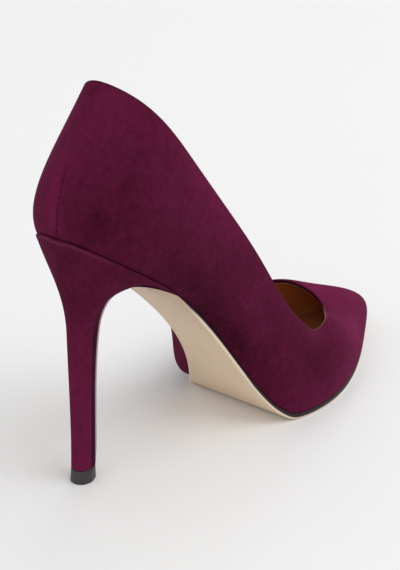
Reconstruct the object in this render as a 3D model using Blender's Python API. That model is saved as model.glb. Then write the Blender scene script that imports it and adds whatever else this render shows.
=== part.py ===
"""Stiletto pump for the right foot: upper, insole, outsole, heel and top piece, all in millimetres."""
import bpy
import numpy as np

for old_object in list(bpy.data.objects):
    bpy.data.objects.remove(old_object, do_unlink=True)

# Sizes of the shoe in millimetres
METRE = 0.001
WALL = 2.0
OVERLAP_STEP = 0.8
GAP = 0.3
INSOLE_THICK = 2.4
INSOLE_FOOT = 0.1
INSOLE_LEAN = 0.7
SOLE_THICK = 2.75
SOLE_BEVEL = 1.0
HEEL_RIM = 0.8
LIP_X = 45.0
BREAST_X = 29.0
SOLE_BOW_SHARE = 0.30
STEM_TOP = 63.0
STEM_MIDDLE_X = 15.4
STEM_PULL = 18.0
TIP_MIDDLE_X = 17.0
TIP_LENGTH_SHARE = 0.80
TIP_WIDTH_SHARE = 0.78
TOP_PIECE_HIGH = 5.7
TOP_PIECE_FLARE = 1.06
TOP_PIECE_BEVEL = 0.5
TOP_PIECE_FOOT = 0.98

# Mesh counts
STEPS_PER_ROW = 4
SMALL_STEP = 0.05
SMALL_LEVEL = 0.01
LEVEL_FOOT = 0.15
WALL_LEVELS = 12
PLATE_LENGTHS = 44
PLATE_WIDTHS = 6
HEEL_SHARES = 9
HEEL_LEVELS = 9
STEM_LEVELS = 4

# Feather line from the side: place along the shoe, height, and rise per millimetre towards the inner side
BOTTOM_COLUMNS = ("x", "height", "cant")
BOTTOM = [
    (1.6, 105.0, 0.000),
    (15.0, 96.0, 0.010),
    (30.0, 86.5, 0.030),
    (45.0, 76.4, 0.060),
    (57.0, 67.4, 0.100),
    (68.0, 57.5, 0.146),
    (80.0, 43.8, 0.169),
    (90.0, 29.4, 0.143),
    (99.0, 15.9, 0.080),
    (107.0, 6.5, 0.012),
    (111.0, 3.85, 0.000),
    (115.0, 3.1, 0.000),
    (125.0, 3.05, 0.000),
    (140.0, 3.05, 0.000),
    (160.0, 3.05, 0.000),
    (180.0, 4.3, 0.000),
    (198.0, 6.1, 0.000),
    (215.0, 8.3, 0.000),
]

# Round the shoe from the vamp's inner corner by toe, outer side and heel to the quarter's inner corner:
# feather line in plan, topline, how the wall leaves the feather line (flare out, rise up) and how it comes
# to the topline (reach out, crown up, fore towards the toe).
ROW_COLUMNS = (
    "name", "foot_x", "foot_y", "top_x", "top_y", "top_z", "flare", "rise", "reach", "crown", "fore")
ROWS = [
    ("vamp corner", 84.5, 9.2, 86.9, 20.9, 43.9, 2.5, 3.9, 0.9, -3.1, 0.0),
    ("arch inner", 95.4, 10.5, 97.4, 23.3, 41.2, 4.5, 4.8, 1.9, -5.2, 0.0),
    ("joint inner", 111.4, 20.6, 111.3, 26.1, 37.6, 11.2, 2.8, 1.8, -9.0, 0.0),
    ("ball inner", 130.6, 31.9, 127.6, 25.6, 33.2, 4.4, 10.5, 9.8, -4.4, 0.0),
    ("vamp inner", 152.6, 33.0, 146.8, 23.2, 30.4, 3.3, 10.7, 11.6, -2.6, 0.0),
    ("toe side inner", 178.0, 23.5, 163.2, 18.0, 31.2, 2.1, 9.5, 8.0, -2.0, 4.0),
    ("toe inner", 201.8, 9.3, 172.4, 8.8, 29.9, 0.9, 8.1, 5.0, -1.7, 10.0),
    ("toe tip", 214.6, 0.2, 174.0, 1.6, 27.2, 0.2, 7.5, 6.0, -2.2, 14.6),
    ("toe outer", 201.9, -10.5, 170.6, -5.4, 25.6, 0.7, 8.5, 5.0, -1.2, 10.0),
    ("toe side outer", 174.2, -25.1, 160.8, -14.0, 26.8, 2.0, 9.2, 8.0, -1.8, 4.0),
    ("vamp outer", 146.3, -35.0, 149.2, -21.3, 28.8, 2.7, 10.8, 11.7, -1.5, 0.0),
    ("ball outer", 124.1, -36.9, 134.6, -26.0, 31.4, 3.3, 12.8, 9.9, -4.3, 0.0),
    ("joint outer", 104.8, -32.4, 122.6, -28.7, 39.6, 3.9, 12.9, 6.0, -7.2, 0.0),
    ("arch outer", 85.5, -23.7, 108.2, -29.2, 53.3, 6.9, 9.8, 3.1, -9.2, 0.0),
    ("waist outer", 65.6, -21.2, 88.0, -28.4, 80.2, 8.9, 8.8, 2.2, -10.2, 0.0),
    ("seat outer", 44.6, -23.0, 69.0, -26.7, 104.2, 7.9, 9.7, 3.3, -12.3, 0.0),
    ("heel outer", 25.6, -22.6, 48.8, -23.8, 129.8, 7.0, 11.5, 5.5, -16.4, 0.0),
    ("counter outer", 8.0, -15.4, 29.2, -15.8, 153.8, 6.2, 15.2, 9.4, -19.7, 0.0),
    ("heel back", 1.6, 0.0, 20.6, 0.0, 160.6, 4.0, 16.6, 10.2, -21.0, 0.0),
    ("counter inner", 7.8, 15.1, 32.0, 13.6, 150.4, 6.6, 15.2, 10.8, -19.7, 0.0),
    ("heel inner", 26.2, 22.2, 52.3, 22.6, 130.1, 7.4, 11.5, 5.8, -16.4, 0.0),
    ("seat inner", 45.4, 19.6, 67.0, 23.8, 109.8, 7.3, 9.7, 3.1, -12.3, 0.0),
    ("quarter edge", 55.3, 17.3, 72.3, 23.2, 93.7, 6.2, 8.8, 2.3, -9.2, 0.0),
    ("quarter front", 60.7, 16.4, 73.5, 20.9, 79.9, 5.1, 6.4, 1.5, -6.1, 0.0),
    ("quarter corner", 64.8, 15.7, 73.0, 18.1, 69.1, 3.1, 3.4, 0.9, -3.1, 0.0),
]
TOE_TIP_ROW = 7
HEEL_BACK_ROW = 18

# Heel from the back point to the lip, each way: share of the way, then the pull that leaves the seat,
# the place on the stem's top ring and the swell that comes down to it.
HEEL_COLUMNS = ("name", "share", "pull_x", "pull_y", "drop", "stem_x", "stem_y", "swell_x", "swell_y", "lift")
HEEL_ROWS = [
    ("back", 0.00, 4.8, 0.0, -13.5, 9.6, 0.0, -0.4, 0.0, 17.0),
    ("corner", 0.35, 3.2, 2.8, -13.5, 11.3, 3.9, -0.2, 0.8, 17.0),
    ("side", 0.68, -3.0, 7.1, -3.6, 14.9, 5.1, -0.1, 0.8, 19.0),
    ("flank", 0.86, -10.0, 4.2, 7.0, 17.6, 4.8, -0.3, 1.9, 23.5),
    ("lip", 1.00, -24.8, 3.8, 14.7, 21.2, 3.3, -0.5, 2.6, 19.5),
]
BREAST_ROW = ("breast", 1.00, -6.0, 0.0, -2.0, 21.0, 0.0, -0.3, 0.0, 16.0)


def cubic_slopes(places, values, closed):
    """Slopes of a smooth cubic through the values, closed into a loop or with free ends."""
    count = len(values)
    spans = np.diff(places)
    system = np.zeros((count, count))
    right = np.zeros_like(values)
    following = np.roll(values, -1, axis=0) if closed else values[1:]
    rates = (following - values[:len(spans)]) / spans[:, None]
    for row in range(count):
        if not closed and row in (0, count - 1):
            beside = 1 if row == 0 else count - 2
            system[row, row] = 2.0
            system[row, beside] = 1.0
            right[row] = 3.0 * rates[0 if row == 0 else -1]
            continue
        before = spans[row - 1]
        after = spans[row]
        system[row, (row - 1) % count] += after
        system[row, row] += 2.0 * (before + after)
        system[row, (row + 1) % count] += before
        right[row] = 3.0 * (after * rates[row - 1] + before * rates[row])
    return np.linalg.solve(system, right)


def cubic_through(places, values, wanted, closed=False):
    """Values at the wanted places on a smooth cubic through a table."""
    places = np.asarray(places, float)
    values = np.asarray(values, float)
    wanted = np.asarray(wanted, float)
    slopes = cubic_slopes(places, values, closed)
    if closed:
        values = np.concatenate([values, values[:1]])
        slopes = np.concatenate([slopes, slopes[:1]])
    cell = np.clip(np.searchsorted(places, wanted, side="right") - 1, 0, len(places) - 2)
    span = (places[cell + 1] - places[cell])[:, None]
    part = (wanted - places[cell])[:, None] / span
    rest = 1.0 - part
    start = values[cell] * (1.0 + 2.0 * part) * rest ** 2 + span * slopes[cell] * part * rest ** 2
    finish = values[cell + 1] * part ** 2 * (1.0 + 2.0 * rest) - span * slopes[cell + 1] * part ** 2 * rest
    return start + finish


def bottom_height(x, y):
    """Height of the feather line's surface over a place in plan."""
    table = np.array(BOTTOM)
    flat_x = np.clip(np.ravel(x), table[0, 0], table[-1, 0])
    found = cubic_through(table[:, 0], table[:, 1:], flat_x)
    return (found[:, 0] + found[:, 1] * np.ravel(y)).reshape(np.shape(x))


ROW_VALUES = np.array([row[1:] for row in ROWS])
FOOT = ROW_VALUES[:, 0:2]
FOOT_POINTS = np.column_stack([FOOT, bottom_height(FOOT[:, 0], FOOT[:, 1])])
FOOT_STEPS = np.linalg.norm(np.roll(FOOT_POINTS, -1, axis=0) - FOOT_POINTS, axis=1)
KNOTS = np.concatenate([[0.0], np.cumsum(FOOT_STEPS)])
ROUND = KNOTS[-1]


def feather(places, inset=0.0):
    """Points of the feather line and its outward directions in plan, moved in by the inset."""
    places = np.asarray(places, float) % ROUND
    plan = cubic_through(KNOTS, FOOT, places, closed=True)
    ahead = cubic_through(KNOTS, FOOT, (places + SMALL_STEP) % ROUND, closed=True)
    behind = cubic_through(KNOTS, FOOT, (places - SMALL_STEP) % ROUND, closed=True)
    along = ahead - behind
    along /= np.linalg.norm(along, axis=1)[:, None]
    outward = np.column_stack([-along[:, 1], along[:, 0]])
    plan = plan - outward * inset
    points = np.column_stack([plan, bottom_height(plan[:, 0], plan[:, 1])])
    return points, np.column_stack([outward, np.zeros(len(points))])


def wall(places, levels):
    """Outer surface of the upper: one column from the feather line to the topline at each place."""
    places = np.asarray(places, float)
    foot, outward = feather(places)
    table = ROW_VALUES[:, 2:]
    values = cubic_through(KNOTS[:-1], table, np.minimum(places, KNOTS[-2]))
    strip = np.clip((places - KNOTS[-2]) / (ROUND - KNOTS[-2]), 0.0, 1.0)[:, None]
    values = np.where(strip > 0.0, table[-1] * (1.0 - strip) + table[0] * strip, values)
    top = values[:, 0:3]
    up = np.array([0.0, 0.0, 1.0])
    leave = foot + outward * values[:, 3:4] + up * values[:, 4:5]
    ahead = np.array([1.0, 0.0, 0.0])
    arrive = top + outward * values[:, 5:6] + up * values[:, 6:7] + ahead * values[:, 7:8]
    level = np.asarray(levels, float)[None, :, None]
    rest = 1.0 - level
    foot, leave, arrive, top = (part[:, None, :] for part in (foot, leave, arrive, top))
    start = foot * rest ** 3 + 3.0 * leave * level * rest ** 2
    return start + 3.0 * arrive * level ** 2 * rest + top * level ** 3


def wall_outward(places, levels):
    """Outward directions of the wall, level at the feather line so that its foot stays flat."""
    places = np.asarray(places, float)
    levels = np.asarray(levels, float)
    low = np.maximum(places - 4.0 * SMALL_STEP, 0.0)
    high = np.minimum(places + 4.0 * SMALL_STEP, ROUND)
    inside = (places >= KNOTS[-2]) & (places <= ROUND)
    low = np.where(inside, np.maximum(low, KNOTS[-2]), low)
    along = wall(high, levels) - wall(low, levels)
    over = np.minimum(levels + SMALL_LEVEL, 1.0)
    under = np.maximum(levels - SMALL_LEVEL, 0.0)
    rise = wall(places, over) - wall(places, under)
    face = np.cross(rise, along)
    face /= np.linalg.norm(face, axis=2)[:, :, None]
    level_out = feather(places)[1][:, None, :]
    blend = np.clip(levels / LEVEL_FOOT, 0.0, 1.0)[None, :, None]
    mixed = face * blend + level_out * (1.0 - blend)
    return mixed / np.linalg.norm(mixed, axis=2)[:, :, None]


def closed_ring(outer, inner):
    """Faces of a ring wall from its outer and inner grids of points."""
    around, high = outer.shape[0], outer.shape[1]
    points = np.concatenate([outer.reshape(-1, 3), inner.reshape(-1, 3)])
    shift = around * high
    faces = []
    for column in range(around):
        beside = (column + 1) % around
        for level in range(high - 1):
            a = column * high + level
            b = beside * high + level
            faces.append((a, a + 1, b + 1, b))
            faces.append((shift + a, shift + b, shift + b + 1, shift + a + 1))
        foot_a = column * high
        foot_b = beside * high
        faces.append((foot_a, foot_b, shift + foot_b, shift + foot_a))
        top_a = foot_a + high - 1
        top_b = foot_b + high - 1
        faces.append((top_a, shift + top_a, shift + top_b, top_b))
    return points, faces


def upper_solid():
    """The hollow upper, with the strip under vamp and quarter stepped back by the overlap."""
    places = []
    for row in range(len(ROWS) - 1):
        places.append(np.linspace(KNOTS[row], KNOTS[row + 1], STEPS_PER_ROW + 1)[:-1])
    strip = np.linspace(KNOTS[-2], ROUND, 2 * STEPS_PER_ROW + 1)
    over = np.concatenate(places + [KNOTS[-2:-1]])
    levels = np.linspace(0.0, 1.0, WALL_LEVELS + 1)
    face_over = wall_outward(over, levels)
    face_strip = wall_outward(strip, levels)
    face_strip[0] = face_over[-1]
    face_strip[-1] = face_over[0]
    surface = np.concatenate([wall(over, levels), wall(strip, levels)])
    face = np.concatenate([face_over, face_strip])
    step = np.concatenate([np.zeros(len(over)), np.full(len(strip), OVERLAP_STEP)])[:, None, None]
    outer = surface - face * step
    inner = surface - face * WALL
    inner[:, 0, 2] = bottom_height(inner[:, 0, 0], inner[:, 0, 1])
    outer[:, 0, 2] = bottom_height(outer[:, 0, 0], outer[:, 0, 1])
    return closed_ring(outer, inner)


def plate_grid(outer_edge, inner_edge, bows):
    """Grid in plan between the two edges of a plate; each line across may bow to the back."""
    across = np.linspace(0.0, 1.0, PLATE_WIDTHS + 1)[None, :, None]
    grid = outer_edge[:, None, :] * (1.0 - across) + inner_edge[:, None, :] * across
    curve = 4.0 * across[:, :, 0] * (1.0 - across[:, :, 0])
    grid[:, :, 0] -= np.asarray(bows)[:, None] * curve
    return grid


def closed_plate(upper_side, lower_side):
    """Faces of a plate from its upper and lower grids of points."""
    lengths, widths = upper_side.shape[0], upper_side.shape[1]
    points = np.concatenate([upper_side.reshape(-1, 3), lower_side.reshape(-1, 3)])
    shift = lengths * widths
    faces = []
    for line in range(lengths - 1):
        for cell in range(widths - 1):
            a = line * widths + cell
            b = a + widths
            faces.append((a, a + 1, b + 1, b))
            faces.append((shift + a, shift + b, shift + b + 1, shift + a + 1))
        for edge in (0, widths - 1):
            a = line * widths + edge
            b = a + widths
            side = (a, b, shift + b, shift + a)
            faces.append(side if edge == 0 else side[::-1])
    for line in (0, lengths - 1):
        for cell in range(widths - 1):
            a = line * widths + cell
            end = (a, shift + a, shift + a + 1, a + 1)
            faces.append(end if line == 0 else end[::-1])
    return points, faces


def side_places(start_x):
    """Places round the feather line where each side passes the given length, outer then inner."""
    found = []
    spans = ((KNOTS[HEEL_BACK_ROW], KNOTS[TOE_TIP_ROW]), (KNOTS[HEEL_BACK_ROW], ROUND + KNOTS[TOE_TIP_ROW]))
    for heel, toe in spans:
        near, far = heel, toe
        for _ in range(40):
            middle = 0.5 * (near + far)
            if feather([middle])[0][0, 0] < start_x:
                near = middle
            else:
                far = middle
        found.append(0.5 * (near + far))
    return found


def plate_edges(start_outer, start_inner, inset):
    """Outer and inner edges of a plate from its start to the toe tip, in plan."""
    shares = np.linspace(0.0, 1.0, PLATE_LENGTHS + 1)
    outer_places = start_outer + (KNOTS[TOE_TIP_ROW] - start_outer) * shares
    inner_places = start_inner + (ROUND + KNOTS[TOE_TIP_ROW] - start_inner) * shares
    outer_edge = feather(outer_places, inset)[0][:, :2]
    inner_edge = feather(inner_places, inset)[0][:, :2]
    return shares, outer_edge, inner_edge


def with_height(plan, lift):
    """Plan grid raised onto the feather line's surface plus a lift."""
    return np.dstack([plan, bottom_height(plan[:, :, 0], plan[:, :, 1]) + lift])


def insole_solid():
    """Insole board inside the wall."""
    heel = KNOTS[HEEL_BACK_ROW]
    low_shares, low_outer, low_inner = plate_edges(heel, heel, WALL + GAP + INSOLE_FOOT)
    top_outer, top_inner = plate_edges(heel, heel, WALL + GAP + INSOLE_LEAN)[1:]
    straight = np.zeros(len(low_shares))
    top = with_height(plate_grid(top_outer, top_inner, straight), INSOLE_THICK)
    low = with_height(plate_grid(low_outer, low_inner, straight), 0.0)
    return closed_plate(top, low)


def outsole_solid():
    """Outsole from the heel's breast to the toe, flat on the floor under the ball of the foot."""
    start_outer, start_inner = side_places(LIP_X + 2.0 * GAP)
    shares, outer_edge, inner_edge = plate_edges(start_outer, start_inner, 0.0)
    low_outer, low_inner = plate_edges(start_outer, start_inner, SOLE_BEVEL)[1:]
    bows = (LIP_X - BREAST_X) * np.clip(1.0 - shares / SOLE_BOW_SHARE, 0.0, 1.0) ** 2
    top = with_height(plate_grid(outer_edge, inner_edge, bows), -GAP)
    low = with_height(plate_grid(low_outer, low_inner, bows), -GAP - SOLE_THICK)
    low[:, :, 2] = np.maximum(low[:, :, 2], 0.0)
    return closed_plate(top, low)


def bezier(first, second, third, fourth, levels):
    """Points along cubic columns."""
    level = np.asarray(levels, float)[None, :, None]
    rest = 1.0 - level
    first, second, third, fourth = (part[:, None, :] for part in (first, second, third, fourth))
    start = first * rest ** 3 + 3.0 * second * level * rest ** 2
    return start + 3.0 * third * level ** 2 * rest + fourth * level ** 3


def heel_columns(seat, values, side):
    """Columns of the heel from its seat points to the foot of the stem."""
    mirror = np.asarray(side, float)[:, None] * np.array([[0.0, 1.0]]) + np.array([[1.0, 0.0]])
    zeros = np.zeros(len(seat))
    pull = np.column_stack([values[:, 0], -values[:, 1] * side, values[:, 2]])
    stem = np.column_stack([values[:, 3:5] * mirror, zeros + STEM_TOP])
    swell = np.column_stack([values[:, 5:7] * mirror, values[:, 7]])
    tip_x = TIP_MIDDLE_X + (stem[:, 0] - STEM_MIDDLE_X) * TIP_LENGTH_SHARE
    tip = np.column_stack([tip_x, stem[:, 1] * TIP_WIDTH_SHARE, zeros + TOP_PIECE_HIGH + GAP])
    body = bezier(seat, seat + pull, stem + swell, stem, np.linspace(0.0, 1.0, HEEL_LEVELS + 1))
    down = stem - (stem + swell)
    down = down / np.linalg.norm(down, axis=1)[:, None] * STEM_PULL
    above = tip + np.array([0.0, 0.0, STEM_PULL])
    foot = bezier(stem, stem + down, above, tip, np.linspace(0.0, 1.0, STEM_LEVELS + 1))
    return np.concatenate([body, foot[:, 1:]], axis=1)


def heel_seat():
    """Seat grid of the heel in plan, a line across for each share from the back point to the lips."""
    outer_lip, inner_lip = side_places(LIP_X)
    heel = KNOTS[HEEL_BACK_ROW]
    shares = np.linspace(0.0, 1.0, HEEL_SHARES + 1)
    outer_edge = feather(heel + (outer_lip - heel) * shares, -HEEL_RIM)[0][:, :2]
    inner_edge = feather(heel + (inner_lip - heel) * shares, -HEEL_RIM)[0][:, :2]
    bows = (LIP_X - BREAST_X) * shares ** 4
    return shares, plate_grid(outer_edge, inner_edge, bows)


def heel_solid():
    """Covered heel: seat, back and sides, breast and foot."""
    shares, plan = heel_seat()
    seat = with_height(plan, -GAP)
    table = np.array([row[1:] for row in HEEL_ROWS])
    even_places = np.concatenate([-table[:0:-1, 0], table[:, 0]])
    even = np.concatenate([table[:0:-1, 1:], table[:, 1:]])
    odd_columns = (1, 4, 6)
    signed = np.concatenate([-shares[:0:-1], shares])
    even[:len(table) - 1, odd_columns] *= -1.0
    values = cubic_through(even_places, even, signed)
    flip = np.where(signed < 0.0, -1.0, 1.0)
    values[:, odd_columns] *= flip[:, None]
    back_seat = np.concatenate([seat[:0:-1, 0], seat[:, -1]])
    back = heel_columns(back_seat, values, flip)
    across = np.linspace(-1.0, 1.0, PLATE_WIDTHS + 1)[1:-1]
    lip = table[-1, 1:]
    middle = np.array(BREAST_ROW[2:])
    share = (np.abs(across) ** 2)[:, None]
    breast_values = lip * share + middle * (1.0 - share)
    breast_values[:, 4] = lip[4] * np.abs(across)
    breast_values[:, 1] = lip[1] * np.abs(across)
    breast_values[:, 6] = lip[6] * np.abs(across)
    front = heel_columns(seat[-1, 1:-1], breast_values, np.where(across < 0.0, -1.0, 1.0))
    return back, front[::-1], seat


def heel_mesh():
    """Points and faces of the heel."""
    back, front, seat = heel_solid()
    columns = np.concatenate([back, front])
    around, high = columns.shape[0], columns.shape[1]
    points = [columns.reshape(-1, 3), seat.reshape(-1, 3), columns[:, -1].mean(axis=0)[None, :]]
    shift = around * high
    widths = seat.shape[1]
    middle = shift + seat.shape[0] * widths
    faces = []
    for column in range(around):
        beside = (column + 1) % around
        for level in range(high - 1):
            a = column * high + level
            b = beside * high + level
            faces.append((a, b, b + 1, a + 1))
        faces.append((column * high + high - 1, beside * high + high - 1, middle))
    for line in range(seat.shape[0] - 1):
        for cell in range(widths - 1):
            a = shift + line * widths + cell
            b = a + widths
            faces.append((a, b, b + 1, a + 1))
    return np.concatenate(points), faces


def top_piece_mesh():
    """Wear pad under the stem, a little wider at the floor."""
    back, front, seat = heel_solid()
    ring = np.concatenate([back, front])[:, -1, :2]
    middle = ring.mean(axis=0)
    rows = []
    profile = ((TOP_PIECE_HIGH, 1.0), (TOP_PIECE_BEVEL, TOP_PIECE_FLARE), (0.0, TOP_PIECE_FOOT))
    for height, flare in profile:
        spread = middle + (ring - middle) * flare
        rows.append(np.column_stack([spread, np.full(len(ring), height)]))
    around = len(ring)
    points = np.concatenate(rows + [np.array([[*middle, TOP_PIECE_HIGH], [*middle, 0.0]])])
    faces = []
    for column in range(around):
        beside = (column + 1) % around
        for row in range(len(rows) - 1):
            a = row * around + column
            b = row * around + beside
            faces.append((a, b, b + around, a + around))
        faces.append((beside, column, len(rows) * around))
        last = (len(rows) - 1) * around
        faces.append((last + column, last + beside, len(rows) * around + 1))
    return points, faces


def welded(points, faces):
    """Merge points that coincide and drop the faces that vanish with them."""
    keys = np.round(points, 4)
    unique, index = np.unique(keys, axis=0, return_inverse=True)
    index = np.ravel(index)
    kept = []
    for face in faces:
        corners = []
        for corner in face:
            point = int(index[corner])
            if point not in corners:
                corners.append(point)
        if len(corners) > 2:
            kept.append(tuple(corners))
    return unique, kept


def facing_out(points, faces):
    """Faces turned so that the solid's volume counts as positive."""
    volume = 0.0
    for face in faces:
        first = points[face[0]]
        for corner in range(1, len(face) - 1):
            volume += np.dot(first, np.cross(points[face[corner]], points[face[corner + 1]]))
    return faces if volume > 0.0 else [face[::-1] for face in faces]


def leather(name, colour, roughness):
    """A plain material for one piece."""
    material = bpy.data.materials.new(name)
    material.use_nodes = True
    shader = material.node_tree.nodes["Principled BSDF"]
    shader.inputs["Base Color"].default_value = (*colour, 1.0)
    shader.inputs["Roughness"].default_value = roughness
    material.diffuse_color = (*colour, 1.0)
    return material


PIECES = [
    ("upper", upper_solid(), (0.085, 0.009, 0.030), 0.9),
    ("insole", insole_solid(), (0.42, 0.20, 0.095), 0.6),
    ("outsole", outsole_solid(), (0.55, 0.42, 0.31), 0.5),
    ("heel", heel_mesh(), (0.095, 0.010, 0.034), 0.9),
    ("top_piece", top_piece_mesh(), (0.030, 0.026, 0.030), 0.5),
]
EVERY_POINT = np.concatenate([mesh[0] for _, mesh, _, _ in PIECES])
MIDDLE = 0.5 * (EVERY_POINT.min(axis=0) + EVERY_POINT.max(axis=0))
ORIGIN = np.array([MIDDLE[0], MIDDLE[1], 0.0])

for piece_name, (piece_points, piece_faces), piece_colour, piece_roughness in PIECES:
    shared_points, shared_faces = welded(piece_points, piece_faces)
    turned = facing_out(shared_points, shared_faces)
    shape = bpy.data.meshes.new(piece_name)
    shape.from_pydata(((shared_points - ORIGIN) * METRE).tolist(), [], turned)
    shape.update()
    piece = bpy.data.objects.new(piece_name, shape)
    shape.materials.append(leather(piece_name + " material", piece_colour, piece_roughness))
    bpy.context.scene.collection.objects.link(piece)
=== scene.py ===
"""Looks of the stiletto pump for the right foot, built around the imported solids."""

import math
from types import SimpleNamespace

import bpy
import numpy as np
from mathutils import Matrix, Vector


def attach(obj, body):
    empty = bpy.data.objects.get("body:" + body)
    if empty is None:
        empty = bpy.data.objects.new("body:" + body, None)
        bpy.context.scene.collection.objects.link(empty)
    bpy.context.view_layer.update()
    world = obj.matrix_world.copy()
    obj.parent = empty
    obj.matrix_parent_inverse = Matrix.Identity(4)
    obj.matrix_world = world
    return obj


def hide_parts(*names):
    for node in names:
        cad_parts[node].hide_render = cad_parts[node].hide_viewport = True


bl_info = {
    "name": "Stiletto pump",
    "version": (1, 0, 0),
    "blender": (4, 5, 0),
    "location": "3D View > Sidebar > Pump",
    "description": "Builds the suede, lining, sole and heel of a stiletto pump around its packed solids",
    "category": "Object",
}

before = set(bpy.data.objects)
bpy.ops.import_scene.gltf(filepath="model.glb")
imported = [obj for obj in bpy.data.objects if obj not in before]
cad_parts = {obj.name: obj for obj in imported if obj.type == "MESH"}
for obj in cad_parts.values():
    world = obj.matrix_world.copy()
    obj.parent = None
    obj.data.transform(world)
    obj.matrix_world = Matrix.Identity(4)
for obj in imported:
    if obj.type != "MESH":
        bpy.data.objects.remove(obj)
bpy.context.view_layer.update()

# The tables are in millimetres from the back of the heel seat; the frame is in metres from the box's middle
METRE = 0.001
MIDDLE_X = 107.7
MIDDLE_Y = -1.3192
ORIGIN = np.array([MIDDLE_X, MIDDLE_Y, 0.0])
UP = np.array([0.0, 0.0, 1.0])
AHEAD = np.array([1.0, 0.0, 0.0])
SIDEWAYS = np.array([0.0, 1.0, 0.0])

# Mesh counts
STEPS_PER_ROW = 14
WALL_STEPS = 56
EDGE_STEPS = 5
PLATE_LENGTHS = 170
PLATE_WIDTHS = 26
HEEL_SHARES = 40
CORNER_SHARES = 15
HEEL_LEVELS = 60
STEM_LEVELS = 26
FINE_LEVELS = 161
DART_LEVELS = 200
CORD_SIDES = 8

# Halvings of the search for a place along a side
HALVINGS = 40

# Quarter turn in even steps, for rounded edges
EDGE_TURN = np.linspace(0.0, 0.5 * math.pi, EDGE_STEPS + 1)

# Decimals of a millimetre to which points that coincide agree
WELD_DECIMALS = 3

# Half steps for the directions of the feather line and of the wall, the last one as a share of the way up
FEATHER_STEP = 0.05
WALL_STEP = 0.2
WALL_RISE = 0.01

# Share of the way up over which the wall's outward directions turn from level to its own
LEVEL_SHARE = 0.15

# Room that other columns leave beside a rounded end
END_ROOM = 0.2

# Angles in degrees past which an edge is shaded sharp
SOCK_SHARP = 50.0
SOLE_SHARP = 60.0
HEEL_SHARP = 70.0
PAD_SHARP = 50.0

# Feather line from the side: x along the shoe, height, and cant, the rise per millimetre to the inner side
BOTTOM = [
    (1.6, 105.0, 0.000),
    (15.0, 96.0, 0.010),
    (30.0, 86.5, 0.030),
    (45.0, 76.4, 0.060),
    (57.0, 67.4, 0.100),
    (68.0, 57.5, 0.146),
    (80.0, 43.8, 0.169),
    (90.0, 29.4, 0.143),
    (99.0, 15.9, 0.080),
    (107.0, 6.5, 0.012),
    (111.0, 3.85, 0.000),
    (115.0, 3.1, 0.000),
    (125.0, 3.05, 0.000),
    (140.0, 3.05, 0.000),
    (160.0, 3.05, 0.000),
    (180.0, 4.3, 0.000),
    (198.0, 6.1, 0.000),
    (215.0, 8.3, 0.000),
]

# Round the shoe from the vamp's inner corner by toe, outer side and heel to the quarter's inner corner.
# Columns: name; feather line in plan, foot_x, foot_y; topline, top_x, top_y, top_z; how the wall leaves the
# feather line, flare out and rise up; how it comes to the topline, reach out, crown up and fore to the toe.
ROWS = [
    ("vamp corner", 84.5, 9.2, 86.9, 20.9, 43.9, 2.5, 3.9, 0.9, -3.1, 0.0),
    ("arch inner", 95.4, 10.5, 97.4, 23.3, 41.2, 4.5, 4.8, 1.9, -5.2, 0.0),
    ("joint inner", 111.4, 20.6, 111.3, 26.1, 37.6, 11.2, 2.8, 1.8, -9.0, 0.0),
    ("ball inner", 130.6, 31.9, 127.6, 25.6, 33.2, 4.4, 10.5, 9.8, -4.4, 0.0),
    ("vamp inner", 152.6, 33.0, 146.8, 23.2, 30.4, 3.3, 10.7, 11.6, -2.6, 0.0),
    ("toe side inner", 178.0, 23.5, 163.2, 18.0, 31.2, 2.1, 9.5, 8.0, -2.0, 4.0),
    ("toe inner", 201.8, 9.3, 172.4, 8.8, 29.9, 0.9, 8.1, 5.0, -1.7, 10.0),
    ("toe tip", 214.6, 0.2, 174.0, 1.6, 27.2, 0.2, 7.5, 6.0, -2.2, 14.6),
    ("toe outer", 201.9, -10.5, 170.6, -5.4, 25.6, 0.7, 8.5, 5.0, -1.2, 10.0),
    ("toe side outer", 174.2, -25.1, 160.8, -14.0, 26.8, 2.0, 9.2, 8.0, -1.8, 4.0),
    ("vamp outer", 146.3, -35.0, 149.2, -21.3, 28.8, 2.7, 10.8, 11.7, -1.5, 0.0),
    ("ball outer", 124.1, -36.9, 134.6, -26.0, 31.4, 3.3, 12.8, 9.9, -4.3, 0.0),
    ("joint outer", 104.8, -32.4, 122.6, -28.7, 39.6, 3.9, 12.9, 6.0, -7.2, 0.0),
    ("arch outer", 85.5, -23.7, 108.2, -29.2, 53.3, 6.9, 9.8, 3.1, -9.2, 0.0),
    ("waist outer", 65.6, -21.2, 88.0, -28.4, 80.2, 8.9, 8.8, 2.2, -10.2, 0.0),
    ("seat outer", 44.6, -23.0, 69.0, -26.7, 104.2, 7.9, 9.7, 3.3, -12.3, 0.0),
    ("heel outer", 25.6, -22.6, 48.8, -23.8, 129.8, 7.0, 11.5, 5.5, -16.4, 0.0),
    ("counter outer", 8.0, -15.4, 29.2, -15.8, 153.8, 6.2, 15.2, 9.4, -19.7, 0.0),
    ("heel back", 1.6, 0.0, 20.6, 0.0, 160.6, 4.0, 16.6, 10.2, -21.0, 0.0),
    ("counter inner", 7.8, 15.1, 32.0, 13.6, 150.4, 6.6, 15.2, 10.8, -19.7, 0.0),
    ("heel inner", 26.2, 22.2, 52.3, 22.6, 130.1, 7.4, 11.5, 5.8, -16.4, 0.0),
    ("seat inner", 45.4, 19.6, 67.0, 23.8, 109.8, 7.3, 9.7, 3.1, -12.3, 0.0),
    ("quarter edge", 55.3, 17.3, 72.3, 23.2, 93.7, 6.2, 8.8, 2.3, -9.2, 0.0),
    ("quarter front", 60.7, 16.4, 73.5, 20.9, 79.9, 5.1, 6.4, 1.5, -6.1, 0.0),
    ("quarter corner", 64.8, 15.7, 73.0, 18.1, 69.1, 3.1, 3.4, 0.9, -3.1, 0.0),
]
TOE_TIP_ROW = 7
HEEL_BACK_ROW = 18

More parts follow.
